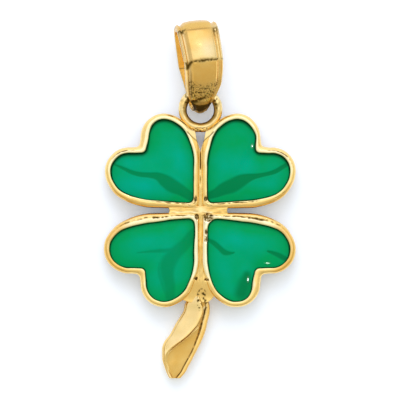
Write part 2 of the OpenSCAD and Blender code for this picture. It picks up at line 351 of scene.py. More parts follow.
class LeafSizes(bpy.types.PropertyGroup):
    """Sizes of the four leaf cells and their rims"""

    cell_reach: length("Cell reach", "From the middle of the clover to the far end of a cell", 6.03)
    lobe_side: length("Lobe side", "From the middle of the clover to the outer side of a lobe", 3.73)
    lobe_r: length("Lobe radius", "Radius of the round end of a cell's lobe", 1.2)
    shoulder_r: length("Shoulder radius", "Radius between a cell's flank and its lobe", 3.2)
    cell_split: length("Cell split", "Distance between neighbouring cells across the cross", 0.97)
    leaf_turn: angle("Leaf turn", "Turn of each leaf towards the upright arm of the cross", 1.2)
    tip_r: length("Tip radius", "Rounding of a cell's corner at the middle of the clover", 0.34)
    notch_r: length("Notch radius", "Rounding of the notch between a leaf's lobes", 0.27)
    rim_w: length("Rim width", "Width of the rim round a cell", 0.38)
    rim_h: length("Rim height", "Height of the rim above the back", 1.6)
    plate_t: length("Plate thickness", "Thickness of the back plate under a cell", 0.45)
    draw_upper: length("Upper draw", "How far the level sides of the upper cells are drawn in", 0.13)
    draw_lower: length("Lower draw", "How far the level sides of the lower cells are drawn in", 0.25)
    waver: length("Waver", "How far the hand-worked rims wander from their true line", 0.022)


class EnamelSizes(bpy.types.PropertyGroup):
    """Sizes of the enamel in the cells"""

    drop: length("Drop", "Height of the rim above the enamel's edge", 0.3)
    dome: length("Dome", "Rise of the enamel's middle above its edge", 0.16)
    gap: length("Gap", "Clearance between enamel and metal", 0.02)
    fold_depth: length("Fold depth", "Depth of the folds in the enamel", 0.02)


class WebSizes(bpy.types.PropertyGroup):
    """Sizes of the web between the leaves"""

    top: length("Height", "Height of the web above the back", 1.5)
    tab_top: length("Tab height", "Height of the level tab above the back", 1.5)
    tab_len: length("Tab length", "Length of the web's level tab", 4.1)
    tab_shift: length("Tab shift", "How far the tab lies to the left of the middle", 0.14)
    vee_y: length("Vee point", "From the middle of the clover to the point of the vee", 3.9)
    vee_w: length("Vee width", "Width of the vee under the ring", 0.92)
    foot_top: length("Foot height", "Height of the web's foot above the back", 1.28)


class RingSizes(bpy.types.PropertyGroup):
    """Sizes of the soldered ring"""

    hole: length("Hole", "Diameter of the ring's hole", 1.8)
    wire: length("Wire", "Diameter of the ring's wire", 0.57)
    solder_d: length("Solder diameter", "Diameter of the bar of solder under the ring", 0.3696)
    solder_len: length("Solder length", "Length of the bar of solder", 1.1)
    solder_drop: length("Solder drop", "How far the solder lies below the ring's lowest wire", 0.15)
    solder_lift: length("Solder lift", "How far the solder lies above the ring's middle plane", 0.16)


class StemSizes(bpy.types.PropertyGroup):
    """Sizes of the leaning stem"""

    length: length("Length", "Length of the stem along Y", 5.5)
    width: length("Width", "Greatest width of the stem along X", 2.4)
    lean: length("Lean", "Sideways lean of the stem's end", 1.76)
    ridge: length("Ridge height", "Height of the stem's ridge above the back", 1.5)
    flange: length("Flange height", "Height of the stem's edge and flange above the back", 1)


class BailSizes(bpy.types.PropertyGroup):
    """Sizes of the folded bail"""

    length: length("Length", "Length of the bail along its loop's long axis", 6.25)
    depth: length("Depth", "Depth of the bail from back to front", 3.5)
    width: length("Width", "Greatest width of the bail's band", 2.75)
    band_t: length("Band thickness", "Thickness of the band at its grooves", 0.26)
    panel_rise: length("Panel rise", "Rise of the middle panel above its grooves", 0.11)
    crown: length("Crown", "Rise of the middle of the band above its edges", 0.26)
    rail_rise: length("Rail rise", "Rise of the band's side rails above its grooves", 0.14)
    roll: angle("Roll", "Roll of the lying bail about its long axis", 10)
    turn: angle("Turn", "Turn of the lying bail in the plane of the clover", 6)
    gap: length("Gap", "Clearance between the bail and the ring", 0.05)


class Finishes(bpy.types.PropertyGroup):
    """Colours and polish of the gold and the enamel"""

    gold: colour("Gold", "Colour of the polished gold", (0.98, 0.71, 0.27))
    # A darker gold mixed in by painted shade, and by a random cloudy tone
    gold_deep: colour("Deep gold", "Colour of the gold where it lies deeper", (0.92, 0.56, 0.145))
    # Colour of the painted highlights on the lips and elsewhere
    gold_highlight: colour("Pale gold", "Colour of the bright lips round the cells", (1, 0.92, 0.62))
    # Colour of the painted shade in pits, creases and grooves, and of dark seams and marks
    gold_shade_and_marks: colour("Pits", "Colour of the gold in pits and creases", (0.112, 0.07, 0.012))
    gold_rough: share("Gold roughness", "Roughness of the polished gold", 0.2)
    green: colour("Green", "Colour of the enamel where it leans to green", (0, 0.325, 0.1))
    green_mid: colour("Middle green", "Colour of the enamel where it leans to teal", (0, 0.375, 0.25))
    # Colour of the dark reflection streaks painted into the enamel's folds
    green_streak: colour("Fold green", "Colour of the enamel in its folds", (0, 0.208, 0.067))
    green_edge: colour("Edge green", "Colour of the enamel in the shade of its rim", (0, 0.055, 0.014))
    green_rough: share("Enamel roughness", "Roughness of the enamel", 0.09)
    green_gloss: share("Enamel gloss", "Strength of the enamel's mirror reflection", 0.03)


class StageSettings(bpy.types.PropertyGroup):
    """Floor, light and camera"""

    floor_size: length("Floor size", "Side of the square floor", 1600)
    floor_white: colour("Floor", "Colour of the floor", (0.88, 0.92, 1.0))
    floor_light: colour("Floor light", "Colour of the light that the floor itself gives", (0.66, 0.82, 1))
    floor_glow: share("Floor glow", "Light that the floor itself gives, as a light table does", 0.23)
    key_power: power("Key power", "Power of the large soft light", 0.57)
    glint_power: power("Glint power", "Power of the small light", 0.008)
    soft_light: strength("Soft light", "Strength of the round soft light, as a share of the sky", 0.45)
    sky_strength: strength("Sky strength", "Strength of the light from all round", 2)
    view_height: length("View height", "Height of the camera above the floor", CAMERA_PLACE[2] / MM)
    view_x: length("View X", "Place of the camera across", -0.027)
    view_y: length("View Y", "Place of the camera along the pendant", 0.7)
    lens: FloatProperty(name="Lens", description="Focal length in millimetres", default=400, min=1)


class CloverSettings(bpy.types.PropertyGroup):
    """All sizes and finishes of the pendant"""

    leaf: PointerProperty(type=LeafSizes)
    enamel: PointerProperty(type=EnamelSizes)
    web: PointerProperty(type=WebSizes)
    ring: PointerProperty(type=RingSizes)
    stem: PointerProperty(type=StemSizes)
    bail: PointerProperty(type=BailSizes)
    finish: PointerProperty(type=Finishes)
    stage: PointerProperty(type=StageSettings)


# Curves and noise


def through(points, count, closed=False):
    """Smooth curve through points, along the first axis, at count evenly spaced parameters.

    Between two points it is the cubic that passes through both, with its slope at each one half of
    the step between that point's neighbours.
    """
    p = np.asarray(points, float)
    n = len(p)
    t = np.arange(count) * n / count if closed else np.linspace(0, n - 1, count)
    i = np.minimum(t.astype(int), n - 1 if closed else n - 2)
    f = (t - i).reshape((-1,) + (1,) * (p.ndim - 1))

    def at(k):
        return p[k % n] if closed else p[np.clip(k, 0, n - 1)]

    a, b, c, d = at(i - 1), at(i), at(i + 1), at(i + 2)
    return b + 0.5 * f * (c - a + f * (2 * a - 5 * b + 4 * c - d + f * (3 * (b - c) + d - a)))


def evenly(points, count):
    """Points spread evenly over the length of a line, which is measured on their first two columns."""
    p = np.asarray(points, float)
    along = np.concatenate([[0], np.cumsum(np.linalg.norm(np.diff(p[:, :2], axis=0), axis=1))])
    wanted = np.linspace(0, along[-1], count)
    return np.stack([np.interp(wanted, along, column) for column in p.T], axis=1)


def step(low, high, x):
    """Share from 0 at low to 1 at high, by the cubic that starts and ends level."""
    t = np.clip((x - low) / (high - low), 0, 1)
    return t * t * (3 - 2 * t)


def between(x, start, full, end, none):
    """Share that rises from 0 at start to 1 at full, and falls from 1 at end to 0 at none."""
    return step(start, full, x) * (1 - step(end, none, x))


def hill(distance, width):
    """Bell curve of the distance, 1 in its middle."""
    return np.exp(-((distance / width) ** 2))


def spot(place, x, y, across, along):
    """Bell curve round a point of the plane, with its own width along each of the two axes."""
    return hill(np.hypot((place[..., 0] - x) / across, (place[..., 1] - y) / along), 1)


def waves(place, cell, seed):
    """Smooth noise from -1 to 1 at places in millimetres, in a lattice of the given cell size.

    Each corner of the lattice has a value from the sine of its whole-number place, and the eight
    corners round a point are blended by the level cubic.
    """
    q = np.asarray(place, float) / cell
    base = np.floor(q)
    f = step(0, 1, q - base)
    total = 0
    for corner in np.ndindex(2, 2, 2):
        turned = np.sin((base + corner) @ (127.1, 311.7, 74.7) + seed * 17.3) * 43758.5453
        value = 2 * (turned - np.floor(turned)) - 1
        weight = np.prod(np.where(corner, f, 1 - f), axis=-1)
        total = total + weight * value
    return total


def grains(place, cell, seed):
    """Two layers of noise, the second one finer and weaker."""
    return waves(place, cell, seed) + 0.5 * waves(place, cell * 0.47, seed + 1)


def mottle(place, cell, seed, base, gain):
    """Patchy share from 0 to 1: smooth noise times its gain, added to its base."""
    return np.clip(base + gain * waves(place, cell, seed), 0, 1)


def pits(place):
    """Share of pit from 0 to 1 at places in millimetres, broken up by fine noise."""
    deep = np.max([spot(place, *pit) for pit in PITS], axis=0)
    return step(0.3, 0.6, deep) * mottle(place, 0.07, 5, 0.85, 1.3)


def gold_fields(shade, deep, painted_highlight=0):
    """Number fields of a gold piece.

    They are its painted shade with dark marks, its painted shade as a darker gold, and its painted
    highlights outside the shade.
    """
    shade = np.clip(shade, 0, 1)
    return {"painted_shade_and_marks": shade, "deep": np.clip(deep, 0, 1), "painted_highlight": np.clip(painted_highlight * (1 - shade), 0, 1)}


# Meshes


def add_object(name, data):
    """Object linked to the scene, in the place of an earlier one of its name."""
    old = bpy.data.objects.get(name)
    if old is not None:
        bpy.data.objects.remove(old)
    made = bpy.data.objects.new(name, data)
    bpy.context.scene.collection.objects.link(made)
    return made


def quads(index):
    """Four-sided faces between the rows and columns of a grid of point numbers."""
    corners = [index[:-1, :-1], index[:-1, 1:], index[1:, 1:], index[1:, :-1]]
    return np.stack(corners, axis=-1).reshape(-1, 4)


def make_piece(name, points, faces, fields, material, node):
    """Mesh object from points and faces, with a number field per point, which stands for a CAD node."""
    mesh = bpy.data.meshes.new(name)
    mesh.from_pydata((points * MM).tolist(), [], faces)
    for field, values in fields.items():
        attribute = mesh.attributes.new(field, "FLOAT", "POINT")
        attribute.data.foreach_set("value", np.asarray(values, np.float32))
    mesh.shade_smooth()
    mesh.materials.append(material)
    piece = add_object(name, mesh)
    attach(piece, "root")
    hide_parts(node)
    return piece


def facing_out(points, faces):
    """The faces, all turned round if the volume that they enclose comes out negative.

    The volume is the sum over the faces of the triple products of their corners.
    """
    a, b, c, d = (points[faces[:, k]] for k in range(4))
    volume = (np.cross(a, b) * c).sum() + (np.cross(a, c) * d).sum()
    return faces if volume > 0 else faces[:, ::-1]


def shell(name, grid, fields, material, node, ring=False):
    """Closed surface over a grid of rows by columns, in millimetres. Its columns close on themselves.

    Its rows close on themselves as a ring, or else the first and last rows end in poles.
    """
    m, n = grid.shape[:2]
    index = np.arange(m * n).reshape(m, n)
    points = grid.reshape(-1, 3)
    values = {field: np.broadcast_to(v, (m, n)).ravel() for field, v in fields.items()}
    if ring:
        index = np.vstack([index, index[:1]])
    else:
        poles = np.stack([grid[0].mean(0), grid[-1].mean(0)])
        points = np.vstack([points, poles])
        index = np.vstack([np.full(n, m * n), index, np.full(n, m * n + 1)])
        values = {f: np.append(v, [v[:n].mean(), v[-n:].mean()]) for f, v in values.items()}
    turned = quads(np.hstack([index, index[:, :1]]))[:, [0, 3, 2, 1]]
    faces = facing_out(points, turned).tolist()
    faces = [list(dict.fromkeys(face)) for face in faces]
    return make_piece(name, points, faces, values, material, node)


def slab(name, top, bottom, fields, material, node, slot):
    """Closed plate between two grids of equal size, in millimetres, with a wall round their borders."""
    m, n = top.shape[:2]
    index = np.arange(m * n).reshape(m, n)
    points = np.vstack([top.reshape(-1, 3), bottom.reshape(-1, 3)])
    values = {f: np.tile(np.broadcast_to(v, (m, n)).ravel(), 2) for f, v in fields.items()}
    over = quads(index)
    border = np.concatenate([index[0, :-1], index[:-1, -1], index[-1, :0:-1], index[:0:-1, 0]])
    following = np.roll(border, -1)
    wall = np.stack([following, border, border + m * n, following + m * n], axis=-1)
    faces = facing_out(points, np.vstack([over, over[:, ::-1] + m * n, wall])).tolist()
    piece = make_piece(name, points, faces, values, material, node)
    bevel = piece.modifiers.new("Rounded edges", "BEVEL")
    bevel.width = BEVEL_WIDTH * MM
    bevel.segments = 2
    bevel.limit_method = "ANGLE"
    bevel.angle_limit = math.radians(50)
    return piece


# Leaves


def rows_for(name, table):
    """The rows of a table whose first value starts a leaf's name, without that value."""
    return [row[1:] for row in table if name.startswith(row[0])]


def shifts(name, table, points):
    """Sum over one leaf's rows of a bell curve round each row's place, times its shift."""
    total = 0
    for x, y, across, along, *shift in rows_for(name, table):
        total = total + spot(points, x, y, across, along)[..., None] * np.array(shift, float)
    return total


def leaf_outline(leaf, name=""):
    """Outline of a leaf in the upper right, how its points move as it grows, and its cell's shift.

    Half of it is four arcs: the corner at the middle of the clover, the long shoulder, the lobe and
    the notch. As the outline grows by a distance, shoulder and lobe widen by it, and the corner and
    the notch shift by it along both axes. The other half swaps X and Y, and the whole is turned.
    The whole outline bulges at the leaf's listed places. The cell departs from it where its level
    side is drawn in and at its own listed places.
    """
    reach, side, lobe_r = leaf.cell_reach / MM, leaf.lobe_side / MM, leaf.lobe_r / MM
    shoulder_r, flank = leaf.shoulder_r / MM, leaf.cell_split / MM / 2
    tip_r, notch_r = leaf.tip_r / MM, leaf.notch_r / MM
    lobe = np.array([side - lobe_r, reach - lobe_r])
    middle_x = flank + shoulder_r
    rise = np.sqrt((shoulder_r - lobe_r) ** 2 - (middle_x - lobe[0]) ** 2)
    shoulder = np.array([middle_x, lobe[1] - rise])
    meet = np.degrees(np.arctan2(lobe[1] - shoulder[1], lobe[0] - shoulder[0]))
    arcs = [
        (np.full(2, flank + tip_r), tip_r, 225, 180, (-1, -1)),
        (shoulder, shoulder_r, 180, meet, None),
        (lobe, lobe_r, meet, 0, None),
        (np.full(2, side + notch_r), notch_r, 180, 225, (1, 1)),
    ]
    parts = []
    for centre, radius, start, end, shift in arcs:
        turn = np.radians(np.linspace(start, end, ARC_POINTS))
        way = np.stack([np.cos(turn), np.sin(turn)], axis=1)
        spread = way if shift is None else np.broadcast_to(shift, way.shape)
        parts.append(np.hstack([centre + radius * way, spread]))
    half = evenly(np.vstack(parts), LEAF_COLUMNS)
    whole = np.vstack([half, half[-2:0:-1][:, [1, 0, 3, 2]]])
    base, spread = whole[:, :2], whole[:, 2:]
    draw = {"upper": leaf.draw_upper, "lower": leaf.draw_lower}.get(name[:5], 0) / MM
    level_side = (name, 1.02 * side, flank, side * 0.5, side * 0.27, 0, draw)
    cos, sin = math.cos(leaf.leaf_turn), math.sin(leaf.leaf_turn)
    turned = np.array([[cos, sin], [-sin, cos]])
    bulged = base + shifts(name, BULGES, base)
    return bulged @ turned, spread @ turned, shifts(name, [level_side, *DEPARTURES], base) @ turned


def cell_middle(leaf):
    """Point from which a whole cell is seen, on the leaf's diagonal, in millimetres."""
    turn = math.radians(45) + leaf.leaf_turn
    far = leaf.lobe_side / MM * MIDDLE_SHARE * math.sqrt(2)
    return far * np.array([math.cos(turn), math.sin(turn)])


def distance_along(place, path):
    """Distance of points from a line in the plane, and the line's third value at the nearest place."""
    start, way = path[:-1], np.diff(path, axis=0)
    gap = place[..., None, :] - start[:, :2]
    t = (gap * way[:, :2]).sum(-1) / (way[:, :2] ** 2).sum(-1)
    t = np.clip(t, 0, 1)
    far = np.linalg.norm(gap - t[..., None] * way[:, :2], axis=-1)
    nearest = far.argmin(-1)[..., None]
    value = start[:, 2] + t * way[:, 2]
    return np.take_along_axis(far, nearest, -1)[..., 0], np.take_along_axis(value, nearest, -1)[..., 0]


def facing_bail(spread, signs):
    """How far each column of a leaf faces the bail, from -1 to 1."""
    return spread[:, 1] * signs[1] / np.linalg.norm(spread, axis=1)


def rim_lines(name, signs, flat, out, high):
    """Share of groove and share of seam at the points of a rim, from 0 to 1.

    A groove runs along the rim at its share of the width and wanders by noise.
    """
    place = np.dstack([flat * signs, high + 0 * flat[..., 0]])
    wander = 0.1 * waves(place, 0.4, 6) + 0.06 * waves(place, 0.13, 7)
    groove = 0
    for x, y, across, along, strength, at in rows_for(name, GROOVES):
        near = strength * spot(flat, x, y, across, along)
        groove = np.maximum(groove, near * hill(out - at - wander, 0.075))
    seam = 0
    for strength, points in rows_for(name, SEAMS):
        far, half = distance_along(flat, np.array(points))
        seam = np.maximum(seam, strength * hill(far, half))
    return np.clip(groove, 0, 1), seam


def leaf_tray(leaf, name, signs):
    """Grid and fields of one leaf's back plate and rim.

    The rim's section is carried round the outline, and its cell side takes the cell's departures.
    Its width and height waver by smooth noise, the width less beside the notch. Ragged grooves part
    the inner edge from the rim in the listed places, and seams and pits are pressed in. The grooves and
    pits also get painted shade, and the seams are drawn dark.
    """
    base, spread, shift = leaf_outline(leaf, name)
    rim_w, rim_h, plate_t, waver = (v / MM for v in (leaf.rim_w, leaf.rim_h, leaf.plate_t, leaf.waver))
    section = through(RIM_SECTION, RIM_ROWS)
    out = np.concatenate([[1 - RIM_FOOT[0] / rim_w, 1], section[:, 0], [0]])[:, None]
    high = np.concatenate([[0, RIM_FOOT[1] / rim_h], section[:, 1], [plate_t / rim_h]])[:, None]
    notch = (leaf.lobe_side + leaf.notch_r * 0.3) / MM
    calm = 1 - spot(base, notch, notch, 0.75, 0.75)
    seat = np.c_[base * signs, np.full(len(base), 3.0)]
    wide = waver * (waves(seat, 0.9, 1) + 0.6 * waves(seat, 0.35, 2)) * calm
    moved = spread * (out * rim_w + wide * step(0.2, 0.75, high))[..., None]
    flat = base + moved + shift * (1 - out)[..., None]
    groove, seam = rim_lines(name, signs, flat, out, high)
    flat = flat * signs
    z = high * rim_h + np.zeros(len(base))
    place = np.dstack([flat, z])
    crest = step(0.8, 0.95, high)
    groove = np.maximum(groove * mottle(place, 0.12, 4, 0.65, 1.1), seam) * crest
    pit = pits(place) * step(0.6, 0.9, high)
    z = z + crest * waver * 0.8 * waves(place, 0.55, 3) - RIM_DENTS[0] * groove - RIM_DENTS[1] * pit
    fields = rim_tones(flat, signs, out, high, facing_bail(spread, signs), groove, pit)
    return np.dstack([flat, z]), fields


def rim_tones(flat, signs, out, high, facing, groove, pit):
    """Fields of a rim, from its share of width and height and how far each column faces the bail.

    Low on its walls it has painted shade as a darker gold, and its inner wall and the low outer edge
    have painted shade. Its inner edge has a painted highlight, stronger on columns that face the bail,
    the side the light comes from; it is narrow and dull where it lies below its cell, and wide along
    the lower upright.
    """
    crest = step(0.8, 0.95, high)
    low = 1 - step(0.35, 0.85, high)
    inner = hill(out, 0.04) * (1 - step(0.82, 0.93, high))
    # Painted shade in the grooves and pits, on the inner wall and low on the outer wall
    shade = np.clip(groove + 0.95 * pit + 0.5 * inner + 0.55 * low * step(0.6, 0.95, out), 0, 1)
    beside, below = np.abs(flat[..., 0]), -flat[..., 1]
    lit = step(-0.6, 0.2, facing)
    upright = between(below, 0.1, 0.5, 4, 5.2) * (1 - step(0.7, 1.2, beside))
    reach = 0.12 + 0.26 * lit + 0.3 * upright
    # Painted highlight along the inner edge of the crest
    painted_highlight = np.maximum(0.3 + 0.5 * lit, upright) * (1 - step(reach, reach + 0.14, out)) * crest * (1 - shade)
    # At the far ends of the lower leaves, and outside under the upper ones, the rim has painted shade as
    # a darker gold, a little more painted shade on its crest and a weaker painted highlight
    if signs[1] < 0:
        deeper = step(4.4, 5.5, beside) * (1 - 0.4 * step(0.5, 0.9, out))
    else:
        deeper = spot(np.dstack([beside, below]), 5.3, -1.1, 1.1, 0.7) * step(0.3, 0.6, out)
    fields = gold_fields(shade + 0.1 * deeper * crest, low * 0.7 + 0.95 * deeper)
    fields["painted_highlight"] = np.clip(painted_highlight * (1 - 0.7 * deeper), 0, 1)
    return fields


def streak_share(name, flat):
    """Share of painted reflection streak from 0 to 1 at points of one cell, each soft at its borders."""
    fold = np.zeros(flat.shape[:-1])
    for strength, soft, points in rows_for(name, REFLECTION_STREAKS):
        far, half = distance_along(flat, through(points, STREAK_POINTS))
        fold = np.maximum(fold, strength * (1 - step(1 - soft, 1 + soft, far / half)))
    return fold


def turn_facets(flat, z, inside):
    """Heights of the enamel with its small facets turned, and its share of gloss.

    A facet is the plane through its mean height that faces halfway between the small light and the
    camera.
    """
    gloss = 0
    for x, y, across, along, shine in GLINTS:
        facet = inside * step(0.3, 0.6, spot(flat, x, y, across, along))
        if facet.sum() > 0:
            ways = np.array([GLINT_PLACE, CAMERA_PLACE]) - (x * MM, y * MM, 0)
            halfway = sum(way / np.linalg.norm(way) for way in ways)
            level = (z * facet).sum() / facet.sum()
            leaning = level - (flat - (x, y)) @ (halfway[:2] / halfway[2])
            z = z + facet * (leaning - z)
            gloss = np.maximum(gloss, facet * shine)
    return z, gloss


def enamel_pillow(leaf, enamel, name, signs):
    """Grid and fields of one cell's enamel.

    Its side stands up to a rounded edge. Inside that, the outline shrinks to the cell's middle by a
    share, and the height grows by the dome times one less the square of that share. Folds are pressed
    in and painted dark as reflection streaks, the rim's shadow is painted along the edge, and small
    facets are turned to the light.
    """
    base, spread, shift = leaf_outline(leaf, name)
    base = base + shift
    middle = cell_middle(leaf)
    gap, dome = enamel.gap / MM, enamel.dome / MM
    edge = (leaf.rim_h - enamel.drop) / MM
    floor = leaf.plate_t / MM + gap
    turn = np.radians(np.linspace(0, 90, 7))
    inset = np.concatenate([[0.03, 0], ENAMEL_EDGE * (1 - np.cos(turn))])[:, None]
    height = np.concatenate([[floor, floor + 0.03], edge + ENAMEL_EDGE * (np.sin(turn) - 1)])[:, None]
    sides = base - spread * (gap + inset[..., None])
    last = sides[-1]
    s = np.concatenate([np.linspace(1, 0.8, 22)[1:], np.linspace(0.8, 0.015, 50)[1:]])[:, None]
    flat = np.concatenate([sides, middle + s[..., None] * (last - middle)]) * signs
    z = np.concatenate([height, edge + dome * (1 - s**2)]) + np.zeros(len(base))
    inside = step(edge - 0.02, edge, z)
    # Folds: shallow dents that also carry painted reflection streaks
    fold = streak_share(name, flat)
    z, gloss = turn_facets(flat, z - enamel.fold_depth / MM * fold * inside, inside)
    place = np.dstack([flat, z])
    # The rim's shade is widest under the top of the upper cells
    rim = np.c_[base * signs, np.zeros(len(base))]
    inward, _ = distance_along(flat, np.vstack([rim, rim[:1]]))
    facing = facing_bail(spread, signs)
    wide = 0.07 + 0.09 * step(-0.8, 0.2, facing) + 0.14 * step(0.2, 0.8, facing) * max(signs[1], 0)
    rim_shadow = 1 - step(0.02, wide + 0.03 * waves(place, 0.5, 7), inward)
    centre = 0.3 * step(0.1, 1.1, inward + 0.15 * waves(place, 0.9, 8)) + 0.2 * waves(place, 1.1, 9)
    for x, y, across, along, amount in TINTS:
        centre = centre + amount * spot(flat, x, y, across, along)
    return place, {"fold": fold, "rim_shadow": rim_shadow, "centre": np.clip(centre, 0, 1), "gloss": gloss}


# Web


def side_of_web(leaf, y):
    """How far the middle line of the rims lies from the cross's upright at the heights y."""
    base, spread, _ = leaf_outline(leaf)
    line = base + spread * leaf.rim_w / MM / 2
    line = line[: line[:, 1].argmax() + 1]
    return np.interp(np.abs(y), line[:, 1], line[:, 0])


def upright_web(leaf, web, ring):
    """Top and bottom grids of the upright strip with its vee and foot, and its fields.

    Columns run from side to side between the middle lines of the rims. Each one runs from the foot,
    whose end slants to the stem, up under the ring, or to the side of the vee if it meets it before.
    """
    vee_y, vee_w = web.vee_y / MM, web.vee_w / MM
    lean = np.linspace(-1, 1, 65)
    u = np.sign(lean) * np.abs(lean) ** 1.4
    heights = np.linspace(vee_y, STRIP_TOP, 200)
    share_of_side = vee_w / 2 * (heights - vee_y) / (VEE_END - vee_y) / side_of_web(leaf, heights)
    end = np.interp(np.abs(u), share_of_side, heights)
    start = np.interp(u, *np.transpose(FOOT_EDGE))
    y = start + (end - start) * np.linspace(0, 1, 260)[:, None]
    x = u * side_of_web(leaf, y)
    over = np.abs(x)
    place = np.dstack([x, y, np.ones_like(x)])
    # The strip falls to its foot. Beside the vee it stands as high as the rims and is smooth
    high = step(2.4, 3.8, y)
    level = web.top / MM - (web.top - web.foot_top) / MM * step(4.5, 6.0, -y)
    level = level + (leaf.rim_h / MM - 0.015 - level) * high
    # Fine ridges run along the strip, a groove darkened with painted shade parts it from each rim and
    # a seam runs up its middle
    ridges = 0.03 * waves(place * (1, 0.12, 1), 0.075, 11) + 0.02 * waves(place, 0.3, 12)
    ridges = ridges * hill(y + 0.4, 5.2) * (1 - 0.8 * high)
    groove = hill(over - np.where(x < 0, 0.17, 0.2), 0.045) * np.where(x < 0, 1, 0.6)
    groove = groove * between(y, -4.6, -3.6, 3.4, 4.4) * mottle(place * (1, 0.25, 1), 0.14, 13, 0.7, 0.6)
    seam = hill(x + 0.02 * waves(place * (1, 0.5, 1), 0.3, 15), 0.03) * between(y, 1.6, 2.2, 3.7, 4.1)
    groove = np.maximum(groove, seam * mottle(place * (1, 0.4, 1), 0.2, 16, 0.5, 1))
    pit = pits(place)
    z = level + ridges + 0.05 * hill(x, 0.12) * step(-4.4, -3.6, y)
    z = z - WEB_DENTS[0] * groove - WEB_DENTS[1] * pit
    # Near the ring it dips under the wire
    radius, middle_y = ring_place(leaf, ring)
    off_ring = np.hypot(x, y - middle_y) - radius - ring.wire / MM / 2
    z = DIP_HEIGHT + (z - DIP_HEIGHT) * step(-0.08, 0.01, off_ring)
    # The foot is speckled, and faint marks run all along the strip
    speckled = step(0.25, 0.5, spot(place, 0.1, -5.75, 0.34, 0.55)) * mottle(place, 0.1, 14, -0.8, 5)
    faint = mottle(place * (1, 0.6, 1), 0.09, 18, 0, 2) * (1 - high) * step(-5.4, -5, y)
    # A thin seam slants over each side of the vee, and the metal below it is a darker gold. A painted
    # highlight lies above the seam, and painted shade along the ring's edge
    above = y - 4.59 - 0.88 * (over - 0.19) - 0.05 * waves(place, 0.4, 17)
    cut = hill(above, 0.045) * step(0.1, 0.2, over) * step(3.6, 4.2, y)
    border = hill(off_ring - 0.02, 0.035) * step(4.2, 5, y)
    # Painted shade in the grooves and pits and along the ring's edge; dark seams, specks and marks
    shade = 0.8 * groove + pit + speckled + 0.12 * faint + 0.75 * cut + 0.5 * border
    below = 0.55 * step(2.6, 3.8, y) * (1 - step(-0.05, 0.05, above))
    deep = 0.15 + 0.15 * step(4.4, 5, -y) + 0.6 * between(-y, 0.4, 1, 3.4, 4.2) + below
    painted_highlight = 0.35 * step(0, 0.1, above) * step(3.8, 4.4, y)
    bottom = np.dstack([x, y, np.full_like(z, UNDERSIDE)])
    return np.dstack([x, y, z]), bottom, gold_fields(shade, deep, painted_highlight)


def level_tab(web):
    """Top and bottom grids of the level tab, and its fields.

    It is a grid of its half length by its half width. Its ends are hollowed a little, and its top
    swells where the upright strip crosses it.
    """
    half, shift = web.tab_len / MM / 2, web.tab_shift / MM
    u = np.linspace(-1, 1, 160)[:, None]
    v = np.linspace(-1, 1, 27)[None]
    x = u * (half - 0.12 * (1 - v**2) * step(0.8, 1, np.abs(u))) - shift
    y = v * TAB_HALF + 0 * u
    place = np.dstack([x, y, np.ones_like(x)])
    ridges = 0.01 * waves(place * (0.3, 1, 1), 0.09, 21) + 0.014 * waves(place, 0.25, 22)
    z = web.tab_top / MM + ridges + 0.1 * hill(x, 0.5) - WEB_DENTS[1] * pits(place)
    marks = 0.2 * mottle(place * (0.5, 1, 1), 0.08, 23, 0, 1)
    # Painted shade in its pits and at its ends, over faint random marks
    shade = pits(place) + marks + 0.5 * step(0.965, 1, np.abs(u))
    # It has a painted highlight where the upright strip crosses it, and along its lower edge
    crossing = 0.4 * spot(place, 0.05, 0.02, 0.4, 0.24)
    border = 0.5 * hill(y + 0.12 + 0.03 * waves(place, 0.6, 24), 0.055) * step(0.2, 0.4, np.abs(x))
    painted_sheen = crossing + border * mottle(place, 0.5, 25, 0.8, 1)
    bottom = np.dstack([x, y, np.full_like(z, UNDERSIDE)])
    return np.dstack([x, y, z]), bottom, gold_fields(shade, 0.55 * (1 - crossing), painted_sheen)


# Ring and solder


def circle(count):
    """Angles of a whole turn in equal steps."""
    return np.linspace(0, 2 * np.pi, count, endpoint=False)


def ring_place(leaf, ring):
    """Middle line radius of the ring and how far its middle lies above the clover's, in millimetres."""
    radius = (ring.hole + ring.wire) / MM / 2
    return radius, leaf.cell_reach / MM * RING_SEAT + radius


def ring_wire(leaf, ring, height):
    """Grid and fields of the ring: a circle carried round a circle, a little uneven."""
    radius, middle_y = ring_place(leaf, ring)
    wire = ring.wire / MM / 2
    round_ring, round_wire = circle(160)[:, None], circle(48)[None]
    way = np.dstack([np.cos(round_ring), np.sin(round_ring), 0 * round_ring])
    rough = wire * (1 + 0.05 * grains(way * 1.2, 0.35, 31))
    far = radius + rough * np.cos(round_wire)
    z = height + rough * np.sin(round_wire)
    place = np.dstack([far * np.cos(round_ring), middle_y + far * np.sin(round_ring), z])
    # The wire's inner half has painted shade, with a painted dark line at either side of it, and painted
    # shade lies where the bail is near. The outer half has a painted highlight
    inward = -np.cos(round_wire) + 0 * round_ring
    inside = step(0.0, 0.4, inward)
    line = hill(inward - 0.16 + 0.08 * waves(place, 0.5, 34), 0.12) * mottle(place, 0.25, 35, 0.8, 1)
    line = line * step(-0.95, -0.2, np.sin(round_ring))
    marks = spot(np.abs(place), 1.0, 7.35, 0.26, 0.55) * mottle(place, 0.12, 36, 0, 4)
    shade = 0.6 * inside * (0.85 + 0.5 * waves(place, 0.3, 32)) + 0.5 * line + 0.9 * marks
    shade = shade + 0.45 * hill(inward - 1, 0.14)
    # Painted shade on the outer edge of its lower half
    shade = shade + 0.4 * hill(inward + 1, 0.2) * step(-0.4, 0.6, -np.sin(round_ring))
    painted_sheen = 0.35 * (1 - inside) * mottle(place, 0.4, 37, 1, 1)
    return place, gold_fields(shade, 0.15 + 0.85 * inside, painted_sheen)


